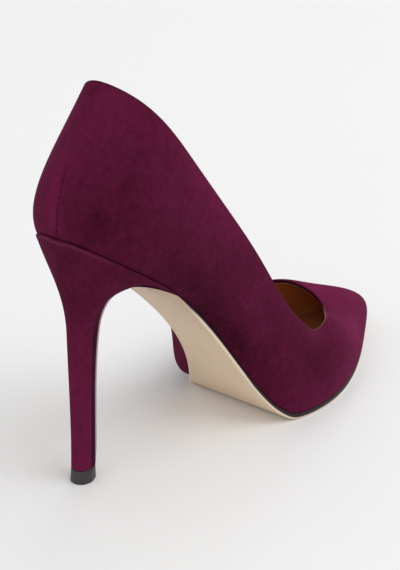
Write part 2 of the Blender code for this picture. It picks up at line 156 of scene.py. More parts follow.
# Rows between which the folded edge at the throat turns from painted shade to a painted highlight, keeps it
# and turns back to painted shade
HIGHLIGHT_ROWS = (8.1, 8.9, 12.0, 14.0)

# Heel from the back point to the lip, each way. Columns: name; share of the way; the pull that leaves the
# seat, pull_x, pull_y, drop; the place on the stem's top ring, stem_x, stem_y; the swell that comes down to
# it, swell_x, swell_y, lift.
HEEL_ROWS = [
    ("back", 0.00, 4.8, 0.0, -13.5, 9.6, 0.0, -0.4, 0.0, 17.0),
    ("corner", 0.35, 3.2, 2.8, -13.5, 11.3, 3.9, -0.2, 0.8, 17.0),
    ("side", 0.68, -3.0, 7.1, -3.6, 14.9, 5.1, -0.1, 0.8, 19.0),
    ("flank", 0.86, -10.0, 4.2, 7.0, 17.6, 4.8, -0.3, 1.9, 23.5),
    ("lip", 1.00, -24.8, 3.8, 14.7, 21.2, 3.3, -0.5, 2.6, 19.5),
]
BREAST_ROW = ("breast", 1.00, -6.0, 0.0, -2.0, 21.0, 0.0, -0.3, 0.0, 16.0)

# Columns after the share that change sign from one side of the heel to the other: pull_y, stem_y, swell_y
ODD_COLUMNS = (1, 4, 6)

# Share that stands for every column across the breast
BREAST_SHARE = 2.0

# Heel's lips and breast, the stem's top, how the stem narrows to its tip, and the pull of its curve
LIP_X = 45.0
BREAST_X = 29.0
STEM_TOP = 63.0
STEM_MIDDLE_X = 15.4
TIP_MIDDLE_X = 17.0
TIP_LENGTH_SHARE = 0.80
TIP_WIDTH_SHARE = 0.78
STEM_PULL = 18.0

# Heel's grid: share of the way with close columns at the lip, power that crowds its levels at the seat,
# power of the breast's bow, how fast the rim runs out at the lips, and the middle of the rim's rounding
CORNER_SHARE = 0.10
LEVEL_POWER = 1.6
BOW_POWER = 4
RIM_TAPER = 6.0
RIM_MIDDLE = 0.3

# Share of the heel's levels, from the seat down, where the breast edges start, and their growth per level
ARCH_SHARE = 0.6
CORD_GROWTH = 0.1

# Height above the feather line within which the wall settles onto the slope of the bottom
SETTLE_HEIGHT = 6.0

# How far past its underlap the strip still thins the suede, and the length over which that eases off
STRIP_PAST = 3.0
STRIP_EASE = 2.0

# Clearance between suede and strip, and before the lining
STRIP_CLEAR = 0.02
LINING_CLEAR = 0.03

# Shares of the way up that give the steepness at the topline
TOPLINE_SHARES = (0.98, 1.0)

# Dart at the back: how far its close columns reach, their step and the room they take; its soft swell; the
# heights over which it fades, below its top and above its foot
DART_REACH = 6.0
DART_STEP = 0.25
DART_ROOM = 6.2
SWELL_AWAY = 2.4
SWELL_WIDE = 1.3
DART_TOP_FADE = (0.0, 5.0)
DART_FOOT_FADE = (0.5, 4.0)

# Stitches of the dart: share of the way up where their line starts, how far they keep from the dart's foot
# and top, and how much of the thread stands out of the trough
STITCH_START = 0.02
STITCH_FOOT = 2.5
STITCH_TOP = 3.0
THREAD_ABOVE = 0.35

# Edge of the outsole from its upper rim to its tread: inset from the feather line, drop
SOLE_EDGE = [
    (0.40, 0.00),
    (0.12, 0.10),
    (0.00, 0.38),
    (0.00, 0.50),
    (0.00, 0.90),
    (0.02, 1.38),
    (0.03, 1.46),
    (0.10, 1.95),
    (0.45, 2.52),
    (0.72, 2.69),
    (1.00, 2.75),
]

# Share of the outsole's thickness at the heel's lips, and the share of its length until it is whole
SKIVE = 0.15
SKIVE_SHARE = 0.05

# Share of the sole's length over which its lines straighten from the breast's bow
BOW_SHARE = 0.30

# Share of the sole's length where its ink starts to widen, the share over which it does, and the ink's fade
INK_START = 0.22
INK_GROWTH = 0.2
INK_FADE = 0.08

# Tones of the sole, painted shade at the waist, painted light towards the tread and a painted highlight
# along the
# bare edge: strengths, shares of its length over which each fades or grows, and the drops down its edge
# between which it is bare
WAIST_SHADE = 0.55
WAIST_SHARES = (0.0, 0.25)
TREAD_LIGHT = 0.25
TREAD_SHARES = (0.12, 0.35)
EDGE_HIGHLIGHT = 0.9
HIGHLIGHT_DROPS = (1.3, 2.6)
EDGE_HIGHLIGHT_SHARES = (0.03, 0.12)

# Edge of the sock from the top: inset from the lining, or below its start from the wall, and lift
SOCK_EDGE = [
    (0.45, 2.40),
    (0.18, 2.36),
    (0.05, 2.25),
    (0.00, 2.00),
    (0.00, 1.75),
    (0.15, 0.80),
    (0.10, 0.00),
]

# Top piece from the stem down: height as a share of its own, spread of the ring
PAD = [
    (1.00, 0.90),
    (1.00, 0.97),
    (0.98, 1.00),
    (0.60, 1.018),
    (0.25, 1.042),
    (0.09, 1.056),
    (0.035, 1.05),
    (0.00, 1.015),
    (0.00, 0.90),
]

# Patches of the suede's nap, partly its brushing and partly painted light and shade, lighter over the toe
# and the
# back and darker low down by the sole: name, row, share of the way up, reach along in millimetres, reach
# upward as a share, and lift of the nap
NAP_LIGHT_AND_SHADE = [
    ("vamp top", 6.4, 0.80, 20.0, 0.40, 0.9),
    ("toe end", 7.8, 0.55, 22.0, 0.70, 1.3),
    ("toe stroke", 8.9, 0.40, 17.0, 0.24, 1.3),
    ("stroke's foot", 9.9, 0.20, 12.0, 0.18, 0.5),
    ("toe side", 9.3, 0.65, 20.0, 0.60, 0.7),
    ("low toe", 10.8, 0.12, 18.0, 0.25, 0.3),
    ("ball", 11.7, 0.70, 20.0, 0.45, -0.45),
    ("low joint", 13.1, 0.10, 22.0, 0.28, -1.2),
    ("low waist", 14.4, 0.10, 22.0, 0.30, -1.4),
    ("low seat", 15.5, 0.10, 14.0, 0.22, -0.5),
    ("quarter's topline", 15.4, 0.98, 22.0, 0.20, 1.2),
    ("low counter", 17.0, 0.20, 19.0, 0.30, -0.6),
    ("high counter", 17.7, 0.85, 14.0, 0.25, 0.4),
    ("beside the dart", 18.1, 0.30, 4.0, 0.22, 1.4),
    ("back", 18.6, 0.60, 8.0, 0.40, 0.5),
]

# Painted light and shade on the heel cover, lighter down the stem and darker up the block: height, lift of
# the nap
HEEL_LIGHT_AND_SHADE = [
    (8.0, 1.2),
    (45.0, 0.6),
    (66.0, 0.1),
    (80.0, -0.5),
    (100.0, -0.5),
]

# How strongly the painted marks show, from 0 to 1: painted highlights on the near rim and the heel's
# crease, painted shade on the far rim, inside the fold, at the foot, in the dart, on the heel's seat and at
# the breast
NEAR_RIM_HIGHLIGHT = 0.8
FAR_RIM_SHADE = 0.8
INSIDE_SHADE = 0.85
FOOT_SHADE = 0.5
DART_SHADE = 0.25
CREASE_HIGHLIGHT = 0.022
SEAT_SHADE = 0.5
BREAST_SHADE = 0.85

# How fast the mark along the rim fills where the fold rounds over, and how far the painted highlight along
# the crease lifts the nap
RIM_REACH = 6.0
CREASE_HIGHLIGHT_LIFT = 0.7

# Shares of the way round the heel: where the crease and its painted highlight start to fade and are gone,
# where the painted shade on the strip beside the breast starts and is full, and where the painted shade in
# the groove at the breast's edge starts
CREASE_SHARES = (0.16, 0.46)
SHADED_STRIP_SHARES = (0.74, 0.80)
GROOVE_SHARE = 0.95

# Height above the stem's top over which the painted shade on the strip beside the breast fades out
SHADED_STRIP_FADE = 12.0

# Colours of each suede, by their settings: deep, raised, edge with painted highlights, and seams with
# painted shade
SUEDES = {
    "plum suede": ("suede_deep", "suede_raised", "suede_rim_highlight", "suede_seam_and_shade"),
    "heel cover suede": ("heel_deep", "heel_raised", "heel_cut_edge_and_highlight", "suede_seam_and_shade"),
}

# Numbers of a mix node's sockets for each kind of value: base, other and result
MIX_SOCKETS = {"RGBA": (6, 7, 2), "FLOAT": (2, 3, 0)}

# Half the floor's width in metres, and the tone of its faint clouds
FLOOR_REACH = 12.0
FLOOR_CLOUD = 0.985

# Camera's sensor in millimetres, and the nearest and farthest it sees in metres
SENSOR_WIDTH = 36.0
CLIP_START = 0.02
CLIP_END = 60.0

# Wide lights: name, setting with the strength, way towards the light, and angle across in degrees
LIGHTS = [
    ("overhead", "top_strength", (0.10, -0.60, 1.00), 50.0),
    ("toe light", "toe_strength", (0.85, 0.10, 0.50), 50.0),
    ("heel light", "heel_strength", (-0.80, -0.10, 0.45), 50.0),
]


def length(name, description, default):
    """A size that a user may change."""
    return bpy.props.FloatProperty(
        name=name, description=description, default=default, min=0.0, unit="LENGTH", precision=5)


def angle(name, description, degrees):
    """An angle that a user may change."""
    return bpy.props.FloatProperty(
        name=name, description=description, default=math.radians(degrees), unit="ROTATION")


def colour(name, description, default):
    """A colour that a user may change."""
    return bpy.props.FloatVectorProperty(
        name=name, description=description, default=default, min=0.0, max=1.0, size=3, subtype="COLOR")


def amount(name, description, default):
    """A plain number that a user may change."""
    return bpy.props.FloatProperty(name=name, description=description, default=default, min=0.0)


class PumpSizes(bpy.types.PropertyGroup):
    """Thicknesses, edges and stitches of the shoe."""
    wall: length("Wall", "Whole thickness of the upper with its lining", 0.0020)
    fold: length("Fold", "Thickness of the suede with its folded edge", 0.00145)
    suede: length("Suede", "Thickness of the suede where the strip lies under it", 0.0008)
    strip: length("Strip", "Thickness of the strip under vamp and quarter", 0.00045)
    underlap: length("Underlap", "How far the strip runs under vamp and quarter", 0.004)
    level_drop: length("Lining drop, level", "How far the lining ends before a level topline", 0.0012)
    steep_drop: length("Lining drop, steep", "How far the lining ends below a steep topline", 0.0016)
    lining_start: length("Lining start", "How far above the feather line the lining starts", 0.0015)
    gap: length("Gap", "Gap between neighbouring pieces", 0.0003)
    slit: length("Slit", "Slit between the upper and the sole or heel", 0.00006)
    heel_rim: length("Heel rim", "How far the heel's rim stands out from the upper", 0.0008)
    heel_round: length("Heel round", "Rounding of the heel's rim", 0.0005)
    crease_down: length("Crease", "How far below the seat the heel cover is creased", 0.0018)
    crease_high: length("Crease height", "Height of the soft ridge along the crease", 0.00022)
    crease_wide: length("Crease width", "Half width of the soft ridge along the crease", 0.0007)
    cord: length("Breast edge", "Radius of the heel cover's edge along the breast", 0.0005)
    ink_waist: length("Ink at the waist", "How far down the sole's edge the ink goes at the waist", 0.00105)
    ink_toe: length("Ink at the toe", "How far down the sole's edge the ink goes at the toe", 0.00190)
    pad_high: length("Top piece", "Height of the top piece", 0.0057)
    dart_top: length("Dart top", "Height where the stitched dart at the back ends", 0.1335)
    dart_deep: length("Dart depth", "Depth of the dart's trough", 0.0003)
    dart_wide: length("Dart width", "Half width of the dart's trough", 0.0004)
    dart_swell: length("Dart swell", "Height of the soft swell beside the dart", 0.00018)
    stitch_pitch: length("Stitch pitch", "Distance from stitch to stitch", 0.0019)
    stitch_long: length("Stitch length", "Length of one stitch", 0.0011)
    thread: length("Thread", "Thickness of the thread", 0.00036)


class PumpColours(bpy.types.PropertyGroup):
    """Colours of the shoe's materials."""
    suede_deep: colour("Suede, deep", "Suede where the nap lies away", (0.022, 0.0012, 0.0050))
    suede_raised: colour("Suede, raised", "Suede where the nap stands up", (0.163, 0.0140, 0.0575))
    # Painted highlight along the folded edge on the near side of the throat
    suede_rim_highlight: colour("Suede, edge", "Suede along folded edges", (0.270, 0.140, 0.170))
    # Dark seams, also painted shade in the dart, at the foot, on shaded rims and folds, on the heel's seat
    # and at the breast
    suede_seam_and_shade: colour("Suede, seam", "Suede down in seams", (0.012, 0.0015, 0.005))
    heel_deep: colour("Heel, deep", "Heel cover where the nap lies away", (0.024, 0.0013, 0.0056))
    heel_raised: colour("Heel, raised", "Heel cover where the nap stands up", (0.170, 0.0147, 0.0610))
    # Cut edge along the breast, also the painted highlight along the heel's crease
    heel_cut_edge_and_highlight: colour("Heel, edge", "Cut edge of the heel cover along the breast", (0.520, 0.420, 0.470))
    lining: colour("Lining", "Lining leather", (0.560, 0.225, 0.078))
    lining_deep: colour("Lining, deep", "Lining leather in its pores", (0.390, 0.138, 0.042))
    # Darker than the lining: painted shade inside the shoe
    sock: colour("Sock", "Sock leather", (0.350, 0.135, 0.048))
    sock_deep: colour("Sock, deep", "Sock leather in its pores", (0.270, 0.092, 0.028))
    lining_edge: colour("Lining, edge", "Cut edge of the lining", (0.300, 0.200, 0.210))
    sole: colour("Sole", "Sole leather", (0.745, 0.568, 0.400))
    sole_deep: colour("Sole, deep", "Sole leather in its fibres", (0.665, 0.495, 0.342))
    # Painted shade at the sole's waist
    sole_shade: colour("Sole, dusky", "Sole leather at the waist", (0.460, 0.335, 0.230))
    # Painted light towards the tread and a painted highlight along the bare edge
    sole_highlight: colour("Sole, pale", "Sole leather along its bare edge", (0.850, 0.715, 0.565))
    ink: colour("Sole edge", "Ink on the sole's edge", (0.020, 0.006, 0.013))
    rubber: colour("Top piece", "Rubber of the top piece", (0.020, 0.018, 0.021))
    thread: colour("Thread", "Thread of the dart", (0.012, 0.002, 0.006))


class PumpStage(bpy.types.PropertyGroup):
    """Camera, floor and light."""
    azimuth: angle("Azimuth", "Turn of the camera round the shoe", -53.488)
    elevation: angle("Elevation", "Camera's angle above the floor", 23.542)
    roll: angle("Roll", "Tilt of the camera's frame", 2.202)
    distance: length("Distance", "Camera to the point it looks at", 0.794)
    focal: bpy.props.FloatProperty(
        name="Focal length", description="Lens of the camera", default=123.01, min=1.0, unit="CAMERA")
    aim: bpy.props.FloatVectorProperty(
        name="Aim", description="Point the camera looks at", default=(-0.01145, 0.00697, 0.05467),
        size=3, subtype="XYZ", unit="LENGTH")
    floor: colour("Floor", "Floor of the studio", (0.92, 0.92, 0.92))
    sky: colour("Surround", "Light from all round", (1.0, 1.0, 1.0))
    sky_strength: amount("Surround strength", "Strength of the light from all round", 0.58)
    top_strength: amount("Overhead", "Strength of the overhead light", 0.9)
    toe_strength: amount("Toe light", "Strength of the light at the toe", 0.6)
    heel_strength: amount("Heel light", "Strength of the light behind the heel", 0.5)


def in_millimetres(group):
    """The group's sizes by name, in the tables' millimetres."""
    return SimpleNamespace(**{name: getattr(group, name) / METRE for name in group.__annotations__})


def unit(vectors):
    """The vectors' directions, each of length one."""
    return vectors / np.linalg.norm(vectors, axis=-1, keepdims=True)


def clamped(values):
    """Values kept between 0 and 1."""
    return np.clip(values, 0.0, 1.0)


def smooth_step(values, start, finish):
    """Numbers from 0 at the start to 1 at the finish, easing in and out."""
    share = clamped((values - start) / (finish - start))
    return share * share * (3.0 - 2.0 * share)


def way_along(columns):
    """Length along each column from its first point."""
    steps = np.linalg.norm(np.diff(columns, axis=1), axis=2)
    return np.concatenate([np.zeros((len(columns), 1)), np.cumsum(steps, axis=1)], axis=1)


def added(name, data):
    """A new object with its data, linked into the scene."""
    thing = bpy.data.objects.new(name, data)
    bpy.context.scene.collection.objects.link(thing)
    return thing


def cubic_slopes(places, values, closed):
    """Slopes of a smooth cubic through the values, closed into a loop or with free ends."""
    count = len(values)
    spans = np.diff(places)
    system = np.zeros((count, count))
    right = np.zeros_like(values)
    following = np.roll(values, -1, axis=0) if closed else values[1:]
    rates = (following - values[:len(spans)]) / spans[:, None]
    for row in range(count):
        if not closed and row in (0, count - 1):
            beside = 1 if row == 0 else count - 2
            system[row, row] = 2.0
            system[row, beside] = 1.0
            right[row] = 3.0 * rates[0 if row == 0 else -1]
            continue
        before = spans[row - 1]
        after = spans[row]
        system[row, (row - 1) % count] += after
        system[row, row] += 2.0 * (before + after)
        system[row, (row + 1) % count] += before
        right[row] = 3.0 * (after * rates[row - 1] + before * rates[row])
    return np.linalg.solve(system, right)


def cubic_through(places, values, wanted, closed=False):
    """Values at the wanted places on a smooth cubic through a table."""
    places = np.asarray(places, float)
    values = np.asarray(values, float)
    wanted = np.asarray(wanted, float)
    slopes = cubic_slopes(places, values, closed)
    if closed:
        values = np.concatenate([values, values[:1]])
        slopes = np.concatenate([slopes, slopes[:1]])
    cell = np.clip(np.searchsorted(places, wanted, side="right") - 1, 0, len(places) - 2)
    span = (places[cell + 1] - places[cell])[:, None]
    part = (wanted - places[cell])[:, None] / span
    rest = 1.0 - part
    start = values[cell] * (1.0 + 2.0 * part) * rest ** 2 + span * slopes[cell] * part * rest ** 2
    finish = values[cell + 1] * part ** 2 * (1.0 + 2.0 * rest) - span * slopes[cell + 1] * part ** 2 * rest
    return start + finish


def bottom_height(x, y):
    """Height of the feather line's surface over a place in plan."""
    table = np.array(BOTTOM)
    flat_x = np.clip(np.ravel(x), table[0, 0], table[-1, 0])
    found = cubic_through(table[:, 0], table[:, 1:], flat_x)
    return (found[:, 0] + found[:, 1] * np.ravel(y)).reshape(np.shape(x))


ROW_VALUES = np.array([row[1:] for row in ROWS])
FOOT = ROW_VALUES[:, 0:2]
FOOT_POINTS = np.column_stack([FOOT, bottom_height(FOOT[:, 0], FOOT[:, 1])])
FOOT_STEPS = np.linalg.norm(np.roll(FOOT_POINTS, -1, axis=0) - FOOT_POINTS, axis=1)
KNOTS = np.concatenate([[0.0], np.cumsum(FOOT_STEPS)])
ROUND = KNOTS[-1]
STRIP_START = KNOTS[-2]
HEEL_BACK = KNOTS[HEEL_BACK_ROW]
TOE_TIP = KNOTS[TOE_TIP_ROW]


def feather(places, inset=0.0):
    """Points of the feather line and its outward directions in plan, moved in by the inset."""
    places = np.asarray(places, float) % ROUND
    plan = cubic_through(KNOTS, FOOT, places, closed=True)
    ahead = cubic_through(KNOTS, FOOT, (places + FEATHER_STEP) % ROUND, closed=True)
    behind = cubic_through(KNOTS, FOOT, (places - FEATHER_STEP) % ROUND, closed=True)
    along = unit(ahead - behind)
    outward = np.column_stack([-along[:, 1], along[:, 0]])
    plan = plan - outward * np.reshape(inset, (-1, 1))
    points = np.column_stack([plan, bottom_height(plan[:, 0], plan[:, 1])])
    return points, np.column_stack([outward, np.zeros(len(points))])


def bezier(first, second, third, fourth, levels):
    """Points along cubic columns at levels that are shared, or given for each column."""
    count = np.shape(levels)[-1]
    level = np.broadcast_to(levels, (len(first), count))[:, :, None]
    rest = 1.0 - level
    first, second, third, fourth = (part[:, None, :] for part in (first, second, third, fourth))
    start = first * rest ** 3 + 3.0 * second * level * rest ** 2
    return start + 3.0 * third * level ** 2 * rest + fourth * level ** 3


def wall(places, levels):
    """Outer surface of the upper: one column from the feather line to the topline at each place."""
    places = np.asarray(places, float)
    foot, outward = feather(places)
    table = ROW_VALUES[:, 2:]
    values = cubic_through(KNOTS[:-1], table, np.minimum(places, STRIP_START))
    strip = clamped((places - STRIP_START) / (ROUND - STRIP_START))[:, None]
    values = np.where(strip > 0.0, table[-1] * (1.0 - strip) + table[0] * strip, values)
    top = values[:, 0:3]
    leave = foot + outward * values[:, 3:4] + UP * values[:, 4:5]
    arrive = top + outward * values[:, 5:6] + UP * values[:, 6:7] + AHEAD * values[:, 7:8]
    return bezier(foot, leave, arrive, top, levels)


def wall_outward(places, levels, span):
    """Outward directions of the wall within a span of places, level at the feather line."""
    low = np.clip(places - WALL_STEP, *span)
    high = np.clip(places + WALL_STEP, *span)
    along = wall(high % ROUND, levels) - wall(low % ROUND, levels)
    over = np.minimum(levels + WALL_RISE, 1.0)
    under = np.maximum(levels - WALL_RISE, 0.0)
    rise = wall(places % ROUND, over) - wall(places % ROUND, under)
    face = unit(np.cross(rise, along))
    level_out = feather(places)[1][:, None, :]
    blend = clamped(levels / LEVEL_SHARE)[:, :, None]
    return unit(face * blend + level_out * (1.0 - blend))


def rounded_shares(count):
    """Share of thickness along points in a row whose two ends are rounded."""
    return np.concatenate([np.sin(EDGE_TURN), np.ones(count), np.sin(EDGE_TURN)[::-1]])


def stations(places, start, drop, rim):
    """Levels on each column from its start to its drop, rounded at both, with their shares of thickness."""
    fine = np.linspace(0.0, 1.0, FINE_LEVELS)
    lengths = way_along(wall(places % ROUND, fine))
    even = np.linspace(0.0, 1.0, WALL_STEPS + 1)[1:-1]
    levels = []
    for row, off, edge in zip(lengths, np.broadcast_to(drop, len(places)), rim):
        finish = row[-1] - off
        rounded = edge * (1.0 - np.cos(EDGE_TURN))
        body = start + edge + (finish - start - 2.0 * edge) * even
        levels.append(np.interp(np.concatenate([start + rounded, body, finish - rounded[::-1]]), row, fine))
    return np.array(levels), rounded_shares(len(even))


def rounded_ends(places, rim):
    """Places with rounded free ends, and the share of thickness at each."""
    rounded = rim * (1.0 - np.cos(EDGE_TURN))
    first = places[0] + rounded
    last = places[-1] - rounded[::-1]
    body = places[(places > first[-1] + END_ROOM) & (places < last[0] - END_ROOM)]
    return np.concatenate([first, body, last]), rounded_shares(len(body))


def settle(grid, surface):
    """Lower the foot of a layer, so that the wall's whole thickness follows the slope of the bottom."""
    high = surface[:, :, 2] - surface[:, :1, 2]
    share = clamped(1.0 - high / SETTLE_HEIGHT)
    under = bottom_height(grid[:, :, 0], grid[:, :, 1])
    grid[:, :, 2] += share * (under - bottom_height(surface[:, :, 0], surface[:, :, 1]))


def layer(places, ends, span, depth, thick, start=0.0, drop=0.0):
    """Outer and inner grids of one layer of the wall, and its share of thickness at each point."""
    rim = 0.5 * np.broadcast_to(thick, len(places))
    levels, rise_share = stations(places, start, drop, rim)
    surface = wall(places % ROUND, levels)
    face = wall_outward(places, levels, span)
    share = ends[:, None] * rise_share[None, :]
    middle = surface - face * (np.broadcast_to(depth, len(places)) + rim)[:, None, None]
    half = face * (rim[:, None] * share)[:, :, None]
    sheet = SimpleNamespace(outer=middle + half, inner=middle - half, share=share, face=face)
    for grid in (sheet.outer, sheet.inner):
        settle(grid, surface)
    return sheet


def near_strip(places, reach):
    """How near each place is to the strip on the inner side: 1 within reach of it, and 0 soon after."""
    beside = np.where(places > STRIP_START, 0.0, np.minimum(STRIP_START - places, places))
    return clamped((reach + STRIP_PAST - beside) / STRIP_EASE)


def suede_thickness(places, sizes):
    """Thickness of the suede at each place, thinned where the strip lies under it."""
    return sizes.fold - (sizes.fold - sizes.suede) * near_strip(places, sizes.underlap)


def row_place(rows):
    """Places round the feather line of rows, also of places between two rows."""
    return np.interp(rows, np.arange(len(KNOTS)), KNOTS)


def nap_light_and_shade_patches(places, points):
    """How the suede is made lighter or darker in patches, by its nap and by painted light and shade, at
    each point of the upper.
    """
    way = way_along(points)
    shares = way / way[:, -1:]
    lift_light_and_shade = np.zeros(shares.shape)
    for _, row, share, along, upward, lift in NAP_LIGHT_AND_SHADE:
        off_along = (places[:, None] - row_place(row)) / along
        off_upward = (shares - share) / upward
        lift_light_and_shade += lift * np.exp(-off_along ** 2 - off_upward ** 2)
    return lift_light_and_shade


def row_places():
    """Even places along the rows from the vamp's inner corner to the quarter's inner corner."""
    spans = zip(KNOTS[:-2], KNOTS[1:-1])
    parts = [np.linspace(near, far, STEPS_PER_ROW + 1)[:-1] for near, far in spans]
    return np.concatenate(parts + [[STRIP_START]])


def grid_faces(across, high, closed, shift=0):
    """Faces of a grid of points, wrapped round where it is closed."""
    columns = np.arange(across if closed else across - 1)
    beside = (columns + 1) % across
    level = np.arange(high - 1)
    a = (columns[:, None] * high + level[None, :]).ravel() + shift
    b = (beside[:, None] * high + level[None, :]).ravel() + shift
    return np.column_stack([a, a + 1, b + 1, b]).tolist()


def fan(around, high, level, middle):
    """Faces from one level of a grid that is closed round to a middle point."""
    columns = np.arange(around)
    beside = (columns + 1) % around
    middles = np.full(around, middle)
    return np.column_stack([columns * high + level, beside * high + level, middles]).tolist()


def shell(outer, inner, closed):
    """Points and faces of a closed shell from two grids that meet along their free edges."""
    across, high = outer.shape[:2]
    points = np.concatenate([outer.reshape(-1, 3), inner.reshape(-1, 3)])
    faces = grid_faces(across, high, closed)
    faces += [face[::-1] for face in grid_faces(across, high, closed, across * high)]
    return points, faces


def welded(points, faces):
    """Merge points that coincide and drop the faces that vanish; the kept points' numbers come too."""
    keys = np.round(points, WELD_DECIMALS)
    kept_points, index = np.unique(keys, axis=0, return_index=True, return_inverse=True)[1:]
    index = np.ravel(index).tolist()
    kept = []
    for face in faces:
        corners = list(dict.fromkeys(index[corner] for corner in face))
        if len(corners) > 2:
            kept.append(corners)
    return points[kept_points], kept, kept_points


def facing_out(points, faces):
    """Faces turned so that the solid's volume counts as positive."""
    volume = 0.0
    for face in faces:
        ring = points[face]
        volume += np.dot(ring[0], np.cross(ring[1:-1], ring[2:]).sum(axis=0))
    return faces if volume > 0.0 else [face[::-1] for face in faces]


def piece_from(name, points, faces, material, values, sharp_degrees=None):
    """A smooth mesh object of one piece, with its named values on the points."""
    shared, kept, numbers = welded(points, faces)
    turned = facing_out(shared, kept)
    shape = bpy.data.meshes.new(name)
    shape.from_pydata(((shared - ORIGIN) * METRE).tolist(), [], turned)
    shape.shade_smooth()
    if sharp_degrees is not None:
        shape.set_sharp_from_angle(angle=math.radians(sharp_degrees))
    for label, numbers_on_points in values.items():
        layer_data = shape.attributes.new(label, "FLOAT", "POINT")
        layer_data.data.foreach_set("value", np.ravel(numbers_on_points)[numbers].astype(np.float32))
    shape.materials.append(material)
    shape.update()
    return added(name, shape)


def placed(piece, slot_name, *nodes):
    """Let a finished piece ride on the shoe and stand for its solids; the slot name is not used."""
    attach(piece, "root")
    if nodes:
        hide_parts(*nodes)


def plate_grid(outer_edge, inner_edge, bows):
    """Grid in plan between the two edges of a plate; each line across may bow to the back."""
    across = np.linspace(0.0, 1.0, PLATE_WIDTHS + 1)[None, :, None]
    grid = outer_edge[:, None, :] * (1.0 - across) + inner_edge[:, None, :] * across
    curve = 4.0 * across[:, :, 0] * (1.0 - across[:, :, 0])
    grid[:, :, 0] -= np.asarray(bows)[:, None] * curve
    return grid


def side_places(start_x):
    """Places round the feather line where each side passes the given length, outer then inner."""
    found = []
    for heel, toe in ((HEEL_BACK, TOE_TIP), (HEEL_BACK, ROUND + TOE_TIP)):
        near, far = heel, toe
        for _ in range(HALVINGS):
            middle = 0.5 * (near + far)
            if feather([middle])[0][0, 0] < start_x:
                near = middle
            else:
                far = middle
        found.append(0.5 * (near + far))
    return found


def with_height(plan, lift):
    """Plan grid raised onto the feather line's surface plus a lift."""
    return np.dstack([plan, bottom_height(plan[:, :, 0], plan[:, :, 1]) + lift])


def plate_places(starts):
    """Places along both sides of a plate from its starts to the toe, outer then inner."""
    shares = np.linspace(0.0, 1.0, PLATE_LENGTHS + 1)
    return [start + (toe - start) * shares for start, toe in zip(starts, (TOE_TIP, ROUND + TOE_TIP))]


def room_inside(places, lift, thick):
    """How far inside the feather line the wall's inner surface stands at a lift above it, at each place."""
    around = places % ROUND
    foot, outward = feather(around)
    inner = layer(around, np.ones(len(around)), (0.0, ROUND), 0.0, thick).inner[:, :WALL_STEPS // 2]
    high = inner[:, :, 2] - bottom_height(inner[:, :, 0], inner[:, :, 1])
    inset = ((foot[:, None] - inner) * outward[:, None]).sum(axis=2)
    return np.array([np.interp(lift, rise, across) for rise, across in zip(high, inset)])


def plate(starts, bows, profile):
    """Points and faces of a plate, kept above the floor, from its outer insets, inner insets and lifts."""
    outer_places, inner_places = plate_places(starts)
    sides = []
    for outer_inset, inner_inset, lift in profile:
        outer_edge = feather(outer_places, outer_inset)[0][:, :2]
        inner_edge = feather(inner_places, inner_inset)[0][:, :2]
        sides.append((outer_edge, inner_edge, lift))
    top = with_height(plate_grid(sides[0][0], sides[0][1], bows), sides[0][2])
    low = with_height(plate_grid(sides[-1][0], sides[-1][1], bows), sides[-1][2])
    down = [with_height(inner[:, None, :], lift) for _, inner, lift in sides[1:-1]]
    up = [with_height(outer[:, None, :], lift) for outer, _, lift in sides[-2:0:-1]]
    loop = np.concatenate([top, *down, low[:, ::-1], *up], axis=1)
    loop[:, :, 2] = np.maximum(loop[:, :, 2], 0.0)
    lines, around = loop.shape[:2]
    line = np.arange(lines - 1)[:, None]
    cell = np.arange(around)[None, :]
    beside = (cell + 1) % around
    a = (line * around + cell).ravel()
    b = (line * around + beside).ravel()
    faces = np.column_stack([a, b, b + around, a + around]).tolist()
    first_low = PLATE_WIDTHS + 1 + len(down)
    for cell in range(PLATE_WIDTHS):
        low_cell = first_low + PLATE_WIDTHS - cell
        faces.append([cell, low_cell, low_cell - 1, cell + 1])
    faces.append(list(range(PLATE_WIDTHS, first_low + 1))[::-1])
    faces.append((list(range(first_low + PLATE_WIDTHS, around)) + [0])[::-1])
    return loop.reshape(-1, 3), faces


def heel_shares():
    """Shares of the way from the back point to the lip, close together at the lip's corner."""
    body = np.linspace(0.0, 1.0 - CORNER_SHARE, HEEL_SHARES + 1)[:-1]
    corner = 1.0 - CORNER_SHARE * np.linspace(1.0, 0.0, CORNER_SHARES)
    return np.concatenate([body, corner])


def heel_columns(seat, values, side):
    """Columns of the heel from its seat points to the foot of the stem."""
    mirror = np.column_stack([np.ones(len(seat)), side])
    zeros = np.zeros(len(seat))
    pull = np.column_stack([values[:, 0], -values[:, 1] * side, values[:, 2]])
    stem = np.column_stack([values[:, 3:5] * mirror, zeros + STEM_TOP])
    swell = np.column_stack([values[:, 5:7] * mirror, values[:, 7]])
    tip_x = TIP_MIDDLE_X + (stem[:, 0] - STEM_MIDDLE_X) * TIP_LENGTH_SHARE
    sizes = in_millimetres(bpy.context.scene.pump_sizes)
    tip = np.column_stack([tip_x, stem[:, 1] * TIP_WIDTH_SHARE, zeros + sizes.pad_high + sizes.gap])
    body_levels = np.linspace(0.0, 1.0, HEEL_LEVELS + 1)[1:] ** LEVEL_POWER
    body = bezier(seat, seat + pull, stem + swell, stem, body_levels)
    down = -unit(swell) * STEM_PULL
    stem_levels = np.linspace(0.0, 1.0, STEM_LEVELS + 1)[1:]
    foot = bezier(stem, stem + down, tip + UP * STEM_PULL, tip, stem_levels)
    return np.concatenate([body, foot], axis=1)


def heel_values(signed):
    """Rows of the heel table at signed shares, outer side below zero."""
    table = np.array([row[1:] for row in HEEL_ROWS])
    places = np.concatenate([-table[:0:-1, 0], table[:, 0]])
    values = np.concatenate([table[:0:-1, 1:], table[:, 1:]])
    values[:len(table) - 1, ODD_COLUMNS] *= -1.0
    found = cubic_through(places, values, signed)
    flip = np.where(signed < 0.0, -1.0, 1.0)
    found[:, ODD_COLUMNS] *= flip[:, None]
    return found, flip


